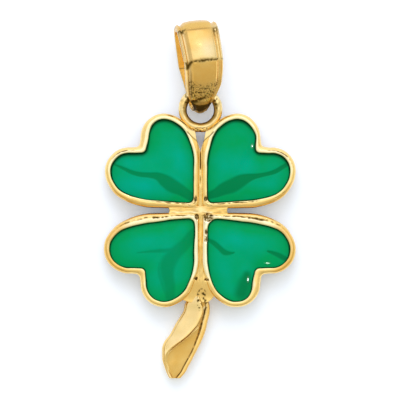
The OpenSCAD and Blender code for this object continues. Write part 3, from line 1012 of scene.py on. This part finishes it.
def solder_bar(leaf, ring, height):
    """Grid and fields of the solder: a rod with round ends whose radius is roughened by noise."""
    y = leaf.cell_reach / MM * RING_SEAT - ring.solder_drop / MM
    height = height + ring.solder_lift / MM
    along = np.cos(np.radians(np.linspace(178, 2, 70)))[:, None]
    turn = circle(40)[None]
    x = along * ring.solder_len / MM / 2 + 0 * turn
    radius = ring.solder_d / MM / 2 * np.sqrt(np.clip(1 - along**6, 0.001, 1))
    smooth = np.dstack([x, y + radius * np.cos(turn), height + radius * np.sin(turn)])
    lumps = grains(smooth, 0.11, 33)
    radius = radius * (1 + 0.16 * lumps)
    place = np.dstack([x, y + radius * np.cos(turn), height + radius * np.sin(turn)])
    # Painted shade in the hollows between its lumps
    return place, gold_fields(np.minimum(0.22 - 0.9 * lumps, 0.85), 0.6)


# Stem


def leaning_stem(leaf, stem):
    """Grid and fields of the stem: a section of 23 points across, carried along thirteen stations.

    From the left edge it rises to the ridge, drops into a shallow hollow that runs to the crease, and
    steps up to the flange at the right edge, which reaches out a little more below the web.
    """
    rows = through(STEM_ROWS, 150)
    long, width, lean = stem.length / MM, stem.width / MM, stem.lean / MM
    flange, ridge_h = stem.flange / MM, stem.ridge / MM
    y = -leaf.cell_reach / MM * STEM_SEAT - long * rows[:, 0]
    w = width * rows[:, 2]
    left = -lean * rows[:, 1] - w / 2
    ridge, crease = rows[:, 3], rows[:, 4]
    rise = (ridge_h - flange) * rows[:, 5]
    top = flange + rise
    hollow = flange * 0.88 + rise * 0.5 * (1 - step(0.02, 0.5, rows[:, 0]))
    across = [
        (0.1, 0),
        (0.01, 0.06),
        (0, flange * 0.45),
        (0, flange * 0.78),
        (0.02, flange * 0.9),
        (0.07, flange * 0.95),
        (0.09, flange + rise * 0.35),
        (0.09 + (ridge - 0.09) * 0.35, flange + rise * 0.62),
        (0.09 + (ridge - 0.09) * 0.75, flange + rise * 0.9),
        (ridge - 0.02, top),
        (ridge + 0.02, top - 0.02),
        (ridge + (crease - ridge) * 0.18, hollow + (top - hollow) * 0.62),
        (ridge + (crease - ridge) * 0.5, hollow + (top - hollow) * 0.34),
        (ridge + (crease - ridge) * 0.92, hollow + (top - hollow) * 0.06),
        (crease, hollow),
        (crease + 0.02, hollow + 0.02),
        (crease + (1 - crease) * 0.25, flange),
        (crease + (1 - crease) * 0.7, flange * 1.01),
        (0.985, flange * 0.93),
        (1, flange * 0.75),
        (1, flange * 0.4),
        (0.99, 0.06),
        (0.92, 0),
    ]
    line = np.stack([np.stack([left + w * s, y, z + 0 * y], axis=-1) for s, z in across])
    grid = through(line, 190, closed=True).transpose(1, 0, 2)
    grid[..., 2] = np.maximum(grid[..., 2], 0)
    place = grid.copy()
    # From here the rows' values are columns, to meet the grid
    down, y, w, ridge, crease = (v[:, None] for v in (rows[:, 0], y, w, ridge, crease))
    share_across = (place[..., 0] - left[:, None]) / w
    up = step(0.3, 0.8, place[..., 2])
    beyond = (share_across - crease) / (1 - crease)
    grid[..., 2] += up * 0.012 * waves(place, 0.6, 41)
    grid[..., 0] += FLANGE_REACH * step(0.3, 0.9, beyond) * step(0.04, 0.26, down)
    # Painted shade: the crease, a soft shadow under the ridge and the left edge; and specks by the foot
    # of the web
    dark = hill((share_across - crease - 0.01) * w, 0.045 + 0.03 * hill(y + 6.9, 0.5))
    dark = dark * mottle(place, 0.14, 42, 0.8, 0.7)
    under = 0.4 * hill((share_across - ridge) * w - 0.1, 0.09) * hill(y + 8.3, 1.4)
    edge = 0.3 * hill((share_across - 0.075) * w, 0.03)
    speckle = step(0.2, 0.5, spot(place, 0.12, -6.1, 0.36, 0.6)) * mottle(place, 0.09, 43, -0.6, 5)
    outside = step(0.75, 1, beyond)
    shade = np.clip((dark + under + edge + speckle) * up, 0, 1) + 0.12 * outside
    # Painted highlight: left of the ridge, on the facet near its top, and by the web right of the
    # crease. Painted shade as a darker gold: the facet lower down, the left edge and the flange, whose
    # outer side also has painted shade
    facet = step(0, 0.1, share_across - ridge) * (1 - step(0, 0.03, share_across - crease))
    painted_sheen = 0.18 * (1 - step(-0.05, 0, share_across - ridge)) + 0.35 * facet * (1 - step(0.2, 0.5, down))
    painted_sheen = painted_sheen + 0.3 * hill(beyond - 0.3, 0.2) * (1 - step(0.3, 0.6, down))
    deep = 0.1 + up * (0.5 * facet * step(0.1, 0.5, down) + 0.45 * (1 - step(0.05, 0.13, share_across)))
    deep = deep + 0.7 * outside + 0.6 * step(0.3, 0.6, beyond)
    return grid, gold_fields(shade, deep, painted_sheen * (1 - outside) * up)


# Bail


def bail_loop(bail):
    """The bail's side view: its stations spread evenly round the loop, their numbers and the ways out.

    Each station is a place along the bail, a depth, half a width and a sideways shift, and takes a
    mean of its neighbours, weighted by a bell curve.
    """
    width = bail.width / MM
    stations = np.array(BAIL_ROWS) * (bail.length / MM, bail.depth / MM, width / 2, width)
    corners = np.vstack([stations, stations[:1]])
    line = evenly(np.c_[corners, np.arange(len(corners))], BAIL_STEPS + 1)[:-1]
    number = line[:, 4:]
    reach = np.arange(-12, 13)
    weight = hill(reach, 5)
    line = sum(w * np.roll(line[:, :4], k, axis=0) for k, w in zip(reach, weight / weight.sum()))
    way = np.roll(line[:, :2], -1, axis=0) - np.roll(line[:, :2], 1, axis=0)
    way = way / np.linalg.norm(way, axis=1, keepdims=True)
    return line, number, np.stack([way[:, 1], -way[:, 0]], axis=1)


def bail_band(bail, line, out):
    """Grid of the band round its loop, each column's share across, and which columns are outside.

    Across it the outer side has a crowned panel between two grooves and two rails, and the inner side
    is plain.
    """
    panel_rise, rail_rise = bail.panel_rise / MM, bail.rail_rise / MM
    crown, band_t = bail.crown / MM, bail.band_t / MM
    s = np.concatenate([np.linspace(-1, -0.56, 28), np.linspace(-0.53, 0.53, 36), np.linspace(0.56, 1, 28)])
    over = np.abs(s)
    rise = rail_rise * hill(over - 0.92, 0.062) - panel_rise * step(0.58, 0.76, over) - crown * s**2
    rise = rise - 0.04 * step(0.96, 1, over)
    back = np.linspace(1, -1, 25)
    across = np.concatenate([s, back])
    outer = np.arange(len(across)) < len(s)
    rises = np.concatenate([rise, -panel_rise - crown * back**2])
    narrow = line[:, 2:3] / (bail.width / MM / 2)
    side = line[:, None, :2] + out[:, None] * (rises * narrow - band_t * ~outer)[..., None]
    x = line[:, 3:4] + line[:, 2:3] * across
    return np.dstack([x, side]), np.broadcast_to(across, x.shape), outer[None]


def bail_creases(place, band):
    """Shade and depth of the marks on the band's outside, at its station's numbers and shares across."""
    number, across = band[..., 0], band[..., 1]
    over = np.abs(across)
    mottled = mottle(place, 0.13, 53, 0.85, 0.6)
    # Creases, pressed in and darkened with painted shade: at the top fold, between the two facets and
    # above the bent lower end
    crease = 0.45 * hill(number - 2 + 0.25 * over**3, 0.06) * hill(across, 0.8)
    middle = hill(number - 4 - 0.03 * waves(place, 0.2, 56), 0.07 + 0.06 * hill(across + 0.05, 0.42))
    middle = middle * mottle(place, 0.1, 51, 0.9, 0.8) * (over < 0.72)
    middle = middle + 0.75 * hill(number - 4.03, 0.07) * step(0.84, 0.93, across)
    low = 1.3 * hill(number - 7.12 + 0.6 * across, 0.16) * hill(across + 0.4, 0.62)
    # Two notches run down from the middle crease, beside and in the left rail, pressed in and darkened
    # with painted shade
    notch = hill(across + 0.68 + 0.4 * (number - 4.05), 0.09)
    notch = notch + hill(across + 0.95 - 0.12 * (number - 4.05), 0.06)
    notch = np.clip(notch, 0, 1) * between(number, 3.98, 4.08, 4.55, 4.75)
    # The bent end is darkened by a painted reflection, darkest in a patch, and the lower facet is grainy
    # towards it, with painted shade in its grain
    bend = between(number, 7.3, 7.5, 9.2, 9.6)
    patch = step(7.7, 7.9, number) * (1 - step(8.4, 8.7, number + 0.3 * across)) * (over < 0.93)
    grainy = step(5.6, 6.1, number + 0.4 * over) * (1 - step(7.0, 7.4, number))
    granular = np.clip(2.6 * grains(place, 0.055, 54) - 0.3, 0, 1) * (np.abs(across + 0.05) < 0.8)
    side = step(0.97, 1, -across) * between(number, 1.5, 1.8, 3.4, 4)
    brown = hill(across + 0.72, 0.035) * between(number, 4.5, 5.2, 6.8, 7.2)
    shade = crease + middle + 0.95 * notch + 0.95 * low * mottled + 0.42 * bend + patch * mottled
    # Painted shade also lies in the grooves, down the left side, over the top and the upper facet, in a
    # brown line on the lower facet, and on the left rail at the bend
    shade = shade + grainy * (0.15 + granular * (0.85 + 0.4 * over)) + 0.12 * gutters(across) + 0.4 * side
    shade = shade + 0.04 * (1 - step(1.85, 2.05, number)) + 0.17 * (1 - step(3.95, 4.05, number))
    shade = shade + 0.4 * brown + 0.55 * step(7.2, 7.6, number) * hill(across + 0.96, 0.1)
    dent = 0.05 * (middle + notch) + 0.04 * (crease + grainy * granular) + 0.07 * low
    return shade, dent


def gutters(across):
    """Bell curves over the two grooves of the band, weaker at the right."""
    return hill(np.abs(across) - 0.76, 0.05) * np.where(across > 0, 0.3, 1)


def bail_highlight(band, lump):
    """Share of painted highlight on the band's outside.

    It lies on the panel above the middle crease, on the rails and grooves, and on the lump of metal.
    """
    number, across = band[..., 0], band[..., 1]
    over = np.abs(across)
    panel = 0.2 * step(2.4, 3.6, number + 0.5 * across) + 0.45 * spot(band, 3.4, 0.25, 0.5, 0.35)
    panel = panel * (over < 0.7) * (number > 2) * (number < 4)
    rails = (0.45 - 0.3 * step(3.8, 4.4, number)) * hill(over - 0.93, 0.04) * between(number, 1.5, 2, 7, 8)
    grooves = np.where(across < 0, 0.4, 0.15) * hill(over - 0.78, 0.08) * (number > 2)
    return panel + rails + grooves + 0.6 * lump


def lay_bail(leaf, ring, bail):
    """The bail's grid in the clover's frame, its fields, and the height of the ring's middle line.

    The lower end leans to the right, with its corners rounded off. Marks are pressed into the band
    along its ways out, and its lower facet is bowed out. The whole is rolled about its long axis, laid
    on the floor and turned. The ring's wire lies a gap above the band's back.
    """
    line, number, out = bail_loop(bail)
    grid, across, outer = bail_band(bail, line, out)
    fold = hill(number - 8.9, 1.1)
    left, right = np.clip(-across, 0, 1), np.clip(across, 0, 1)
    grid[..., 0] += END_LEAN * fold
    grid[..., 1] += fold * (END_ROUND[0] * left**2 + END_ROUND[1] * right**2)
    place = grid.copy()
    band = np.dstack([number + 0 * across, across])
    shade, dent = bail_creases(place, band)
    # A small lump of metal stands at the upper right, and painted shade darkens spots where the rails
    # meet the top
    lump = spot(band, 1.75, 0.86, 0.45, 0.17) * outer
    dark = 0.9 * spot(band, 2.15, 0.8, 0.35, 0.12) + 1.3 * spot(band, 1.85, -0.84, 0.32, 0.2)
    shade = shade + dark * mottle(place, 0.12, 57, 0.6, 1.6)
    # Inside, only a line of painted shade along its crease
    inner_crease = 0.6 * hill(number - 13.95, 0.04)
    shade = np.where(outer, shade, inner_crease)
    bow = FACET_BOW * np.sin(np.pi * np.clip((number - 4) / 3, 0, 1))
    rise = (bow + 0.012 * waves(place, 0.7, 55) - dent) * outer + LUMP_RISE * lump
    grid[..., 1:] += out[:, None] * rise[..., None]
    roll, turn = bail.roll, bail.turn
    x, y, z = grid[..., 0], grid[..., 1], grid[..., 2]
    x, z = x * math.cos(roll) + z * math.sin(roll), z * math.cos(roll) - x * math.sin(roll)
    z = z - z.min()
    under_wire = np.abs(number[:, 0] - 13) < 0.4
    ring_height = z[under_wire].max() + (bail.gap + ring.wire / 2) / MM
    x, y = x * math.cos(turn) - y * math.sin(turn), x * math.sin(turn) + y * math.cos(turn)
    laid = np.dstack([x, y + ring_place(leaf, ring)[1] - BAIL_SINK, z])
    # Painted shade as a darker gold: the front below, at its top and at its left, and the upper inside
    front = between(number, 3.95, 4.15, 9.5, 10.5)
    shaded = 0.9 - 0.75 * step(1.9, 3.7, number) * step(-0.9, 0.3, across)
    deep = shaded * (1 - front) + 0.7 * front + 0.35 * gutters(across)
    deep = np.where(outer, deep, 0.35 + 0.4 * step(13.9, 14, number))
    return laid, gold_fields(shade, deep, bail_highlight(band, lump) * outer), ring_height


# Finishes


class Nodes:
    """Short way to add and link the nodes of one node tree."""

    def __init__(self, tree):
        self.tree = tree
        tree.nodes.clear()

    def add(self, kind, inputs=None, **settings):
        """New node with its settings, and its inputs set to values or linked to outputs."""
        node = self.tree.nodes.new(kind)
        for name, value in settings.items():
            setattr(node, name, value)
        for name, value in (inputs or {}).items():
            if isinstance(value, bpy.types.NodeSocket):
                self.tree.links.new(value, node.inputs[name])
            else:
                node.inputs[name].default_value = value
        return node

    def field(self, name):
        """Number field of the mesh."""
        return self.add("ShaderNodeAttribute", attribute_name=name).outputs["Fac"]

    def place(self, shift=0):
        """Object coordinates, shifted in the plane by a number of metres."""
        place = self.add("ShaderNodeTexCoord").outputs["Object"]
        return self.add("ShaderNodeMapping", {"Vector": place, "Location": (shift, shift, 0)}).outputs[0]

    def noise(self, place, scale, detail):
        """Cloudy noise from 0 to 1, with so many patches along a metre."""
        inputs = {"Vector": place, "Scale": scale, "Detail": detail}
        return self.add("ShaderNodeTexNoise", inputs).outputs["Fac"]

    def bump(self, height, strength, millimetres, under=None):
        """Normal of a surface that noise raises by up to so many millimetres, over another normal."""
        inputs = {"Height": height, "Strength": strength, "Distance": millimetres * MM}
        if under is not None:
            inputs["Normal"] = under
        return self.add("ShaderNodeBump", inputs).outputs[0]

    def mixed(self, factor, first, second):
        """Colour between two colours."""
        node = self.add("ShaderNodeMix", {0: factor, 6: first, 7: second}, data_type="RGBA")
        return node.outputs[2]

    def sums(self, operation, *values):
        """Result of one operation on two or three numbers."""
        return self.add("ShaderNodeMath", dict(enumerate(values)), operation=operation).outputs[0]

    def ranged(self, value, low, high, to_low, to_high, **settings):
        """Number carried from one range to another."""
        inputs = {"Value": value, "From Min": low, "From Max": high, "To Min": to_low, "To Max": to_high}
        return self.add("ShaderNodeMapRange", inputs, **settings).outputs["Result"]

    def surface(self, inputs):
        """The material's output: one shader with these inputs."""
        shader = self.add("ShaderNodeBsdfPrincipled", inputs)
        self.add("ShaderNodeOutputMaterial", {"Surface": shader.outputs[0]})


def new_material(name):
    """Empty node material, made anew if it is there."""
    old = bpy.data.materials.get(name)
    if old is not None:
        bpy.data.materials.remove(old)
    material = bpy.data.materials.new(name)
    material.use_nodes = True
    return material, Nodes(material.node_tree)


def gold_material(finish, name, shift):
    """Polished gold: two golds mixed by painted shade and by cloudy noise.

    Painted highlights make it pale on its lips, and painted shade and dark marks make it dark in its
    creases.
    """
    material, nodes = new_material(name)
    place = nodes.place(shift)
    cloud = nodes.noise(place, 1400, 3)
    fine = nodes.noise(place, 5200, 2)
    # Painted shade and a random cloudy tone mix in the darker gold
    depth = nodes.sums("ADD", nodes.field("deep"), nodes.ranged(cloud, 0.35, 0.7, -0.12, 0.3))
    depth = nodes.ranged(depth, 0, 1, 0, 1)
    gold = nodes.mixed(depth, (*finish.gold, 1), (*finish.gold_deep, 1))
    # Painted highlights mix in the pale gold
    gold = nodes.mixed(nodes.field("painted_highlight"), gold, (*finish.gold_highlight, 1))
    # Painted shade and dark marks mix in the shade colour
    painted_shade_and_marks = nodes.field("painted_shade_and_marks")
    rough = nodes.ranged(fine, 0.3, 0.75, finish.gold_rough - 0.05, finish.gold_rough + 0.07)
    surface = {
        "Base Color": nodes.mixed(painted_shade_and_marks, gold, (*finish.gold_shade_and_marks, 1)),
        "Metallic": 1.0,
        "Roughness": nodes.sums("MULTIPLY_ADD", painted_shade_and_marks, 0.3, rough),
        "Normal": nodes.bump(fine, 0.07, 0.02, nodes.bump(cloud, 0.25, 0.05)),
    }
    nodes.surface(surface)
    return material


def enamel_material(finish):
    """Glossy green enamel with a faint cloudiness.

    It is darker where reflection streaks are painted into its folds, and where the rim's shadow is
    painted along its edge.
    """
    material, nodes = new_material("Green enamel")
    cloud = nodes.noise(nodes.place(), 700, 3)
    centre = nodes.sums("ADD", nodes.field("centre"), nodes.ranged(cloud, 0.3, 0.7, -0.18, 0.18))
    centre = nodes.ranged(centre, 0, 1, 0, 1)
    body = nodes.mixed(centre, (*finish.green, 1), (*finish.green_mid, 1))
    # Painted reflection streaks darken the folds
    folded = nodes.mixed(nodes.field("fold"), body, (*finish.green_streak, 1))
    surface = {
        # Painted shadow of the rim along the enamel's edge
        "Base Color": nodes.mixed(nodes.field("rim_shadow"), folded, (*finish.green_edge, 1)),
        "Roughness": finish.green_rough,
        "Specular IOR Level": nodes.sums("MULTIPLY_ADD", nodes.field("gloss"), 0.97, finish.green_gloss),
        "Normal": nodes.bump(cloud, 0.1, 0.03),
    }
    nodes.surface(surface)
    return material


def floor_material(stage):
    """Plain matt white floor with a trace of cloudiness."""
    material, nodes = new_material("White floor")
    white = stage.floor_white
    duller = (*(0.99 * c for c in white), 1)
    surface = {
        "Base Color": nodes.mixed(nodes.noise(nodes.place(), 40, 2), (*white, 1), duller),
        "Roughness": 0.9,
        "Specular IOR Level": 0.1,
        "Emission Color": (*stage.floor_light, 1),
        "Emission Strength": stage.floor_glow,
    }
    nodes.surface(surface)
    return material


def shared_material(finish, name):
    """The named material, made if it isn't there yet."""
    if name in bpy.data.materials:
        return bpy.data.materials[name]
    if name == "Green enamel":
        return enamel_material(finish)
    return gold_material(finish, name, BAIL_NOISE_SHIFT if name == "Bail gold" else 0)


# Operators


class CLOVER_OT_leaves(bpy.types.Operator):
    """Add the four leaf rims with their back plates"""

    bl_idname = "clover.leaves"
    bl_label = "Leaf rims"

    def execute(self, context):
        clover = context.scene.clover
        gold = shared_material(clover.finish, "Frame gold")
        for name, signs in LEAVES.items():
            grid, fields = leaf_tray(clover.leaf, name, signs)
            shell(f"rim_{name}", grid, fields, gold, "clover_frame")
        return {"FINISHED"}


class CLOVER_OT_enamel(bpy.types.Operator):
    """Add the enamel of the four cells"""

    bl_idname = "clover.enamel"
    bl_label = "Enamel"

    def execute(self, context):
        clover = context.scene.clover
        green = shared_material(clover.finish, "Green enamel")
        for name, signs in LEAVES.items():
            grid, fields = enamel_pillow(clover.leaf, clover.enamel, name, signs)
            shell(f"green_{name}", grid, fields, green, f"enamel_{name}")
        return {"FINISHED"}


class CLOVER_OT_web(bpy.types.Operator):
    """Add the web between the leaves"""

    bl_idname = "clover.web"
    bl_label = "Web"

    def execute(self, context):
        clover = context.scene.clover
        gold = shared_material(clover.finish, "Frame gold")
        upright = upright_web(clover.leaf, clover.web, clover.ring)
        for name, parts in (("web_upright", upright), ("web_tab", level_tab(clover.web))):
            slab(name, *parts, gold, "clover_frame", "frame_gold")
        return {"FINISHED"}


class CLOVER_OT_ring(bpy.types.Operator):
    """Add the soldered ring and its bar of solder"""

    bl_idname = "clover.ring"
    bl_label = "Ring"

    def execute(self, context):
        clover = context.scene.clover
        gold = shared_material(clover.finish, "Frame gold")
        height = lay_bail(clover.leaf, clover.ring, clover.bail)[2]
        grid, fields = ring_wire(clover.leaf, clover.ring, height)
        shell("soldered_ring", grid, fields, gold, "clover_frame", ring=True)
        grid, fields = solder_bar(clover.leaf, clover.ring, height)
        shell("solder", grid, fields, gold, "clover_frame")
        return {"FINISHED"}


class CLOVER_OT_stem(bpy.types.Operator):
    """Add the leaning stem"""

    bl_idname = "clover.stem"
    bl_label = "Stem"

    def execute(self, context):
        clover = context.scene.clover
        gold = shared_material(clover.finish, "Frame gold")
        grid, fields = leaning_stem(clover.leaf, clover.stem)
        shell("stem", grid, fields, gold, "clover_frame")
        return {"FINISHED"}


class CLOVER_OT_bail(bpy.types.Operator):
    """Add the folded bail"""

    bl_idname = "clover.bail"
    bl_label = "Bail"

    def execute(self, context):
        clover = context.scene.clover
        gold = shared_material(clover.finish, "Bail gold")
        grid, fields, _ = lay_bail(clover.leaf, clover.ring, clover.bail)
        shell("bail_band", grid, fields, gold, "bail", ring=True)
        return {"FINISHED"}


class CLOVER_OT_stage(bpy.types.Operator):
    """Add the floor, the lights, the sky and the camera"""

    bl_idname = "clover.stage"
    bl_label = "Stage"

    def execute(self, context):
        stage = context.scene.clover.stage
        add_floor(stage)
        add_lights(stage)
        set_sky(context.scene, stage)
        add_camera(context.scene, stage)
        context.scene.view_settings.view_transform = "Standard"
        return {"FINISHED"}


def add_floor(stage):
    """Square floor just under the pendant."""
    half = stage.floor_size / 2
    mesh = bpy.data.meshes.new("floor")
    side = np.linspace(-half, half, 9)
    x, y = np.meshgrid(side, side)
    points = np.dstack([x, y, np.full_like(x, -FLOOR_DEPTH * MM)]).reshape(-1, 3)
    mesh.from_pydata(points.tolist(), [], quads(np.arange(x.size).reshape(x.shape)).tolist())
    mesh.materials.append(floor_material(stage))
    add_object("floor", mesh)


def add_light(name, place, size, power):
    """Square white light that shines from its place towards the clover."""
    data = bpy.data.lights.new(name, "AREA")
    data.shape = "SQUARE"
    data.size = size
    data.energy = power
    light = add_object(name, data)
    x, y, z = place
    light.location = place
    light.rotation_euler = (math.atan2(math.hypot(x, y), z), 0, math.atan2(x, -y))
    return light


def add_lights(stage):
    """Large soft light from above the bail, which only matt surfaces take, and a small one for glints."""
    key = add_light("key_light", KEY_PLACE, KEY_SIZE, stage.key_power)
    key.visible_glossy = False
    add_light("glint_light", GLINT_PLACE, GLINT_SIZE, stage.glint_power)


def set_sky(scene, stage):
    """Studio all round: brighter towards the bail and cooler, dimmer and warmer towards the stem.

    A round soft light with no edge is added to it, above the bail.
    """
    world = scene.world or bpy.data.worlds.new("Studio")
    scene.world = world
    world.use_nodes = True
    nodes = Nodes(world.node_tree)
    way = nodes.add("ShaderNodeTexCoord").outputs["Generated"]
    parts = nodes.add("ShaderNodeSeparateXYZ", {"Vector": way}).outputs
    level = SKY_LEVEL
    for axis, slope in SKY_SLOPES.items():
        level = nodes.sums("MULTIPLY_ADD", parts[axis], slope, level)
    ramp = nodes.add("ShaderNodeValToRGB", {"Fac": level})
    stops = ramp.color_ramp.elements
    stops.remove(stops[1])
    for k, (place, tone) in enumerate(SKY_STOPS):
        stop = stops[0] if k == 0 else stops.new(place)
        stop.position = place
        stop.color = (*tone, 1)
    toward = (np.array(SOFT_WAY) / np.linalg.norm(SOFT_WAY)).tolist()
    near = nodes.add("ShaderNodeVectorMath", {0: way, 1: toward}, operation="DOT_PRODUCT").outputs["Value"]
    glow = nodes.ranged(near, SOFT_EDGE, 1, 0, stage.soft_light, interpolation_type="SMOOTHSTEP")
    strength = nodes.sums("MULTIPLY", nodes.sums("ADD", glow, 1), stage.sky_strength)
    sky = nodes.add("ShaderNodeBackground", {"Color": ramp.outputs[0], "Strength": strength})
    nodes.add("ShaderNodeOutputWorld", {"Surface": sky.outputs[0]})


def add_camera(scene, stage):
    """Long lens straight above the pendant, with the bail at the top of the picture."""
    data = bpy.data.cameras.new("camera")
    data.lens = stage.lens
    data.sensor_width = 36
    data.clip_start = 0.01
    data.clip_end = 10
    camera = add_object("camera", data)
    camera.location = (stage.view_x, stage.view_y, stage.view_height)
    scene.camera = camera


OPERATORS = [
    CLOVER_OT_leaves,
    CLOVER_OT_enamel,
    CLOVER_OT_web,
    CLOVER_OT_ring,
    CLOVER_OT_stem,
    CLOVER_OT_bail,
    CLOVER_OT_stage,
]


class CLOVER_PT_panel(bpy.types.Panel):
    """Buttons and sizes of the clover pendant"""

    bl_idname = "CLOVER_PT_panel"
    bl_label = "Clover pendant"
    bl_space_type = "VIEW_3D"
    bl_region_type = "UI"
    bl_category = "Clover"

    def draw(self, context):
        layout = self.layout
        for operator in OPERATORS:
            layout.operator(operator.bl_idname)
        clover = context.scene.clover
        for part in CloverSettings.__annotations__:
            group = getattr(clover, part)
            box = layout.box()
            box.label(text=group.bl_rna.description)
            for name in type(group).__annotations__:
                box.prop(group, name)


CLASSES = [
    LeafSizes,
    EnamelSizes,
    WebSizes,
    RingSizes,
    StemSizes,
    BailSizes,
    Finishes,
    StageSettings,
    CloverSettings,
    *OPERATORS,
    CLOVER_PT_panel,
]


def register():
    """Registers the classes and puts the settings on the scene."""
    for kind in CLASSES:
        bpy.utils.register_class(kind)
    bpy.types.Scene.clover = PointerProperty(type=CloverSettings)


def unregister():
    """Takes the settings off the scene and unregisters the classes."""
    del bpy.types.Scene.clover
    for kind in reversed(CLASSES):
        bpy.utils.unregister_class(kind)


def main():
    register()
    bpy.ops.clover.leaves()
    bpy.ops.clover.enamel()
    bpy.ops.clover.web()
    bpy.ops.clover.ring()
    bpy.ops.clover.stem()
    bpy.ops.clover.bail()
    bpy.ops.clover.stage()


if __name__ == "__main__":
    main()
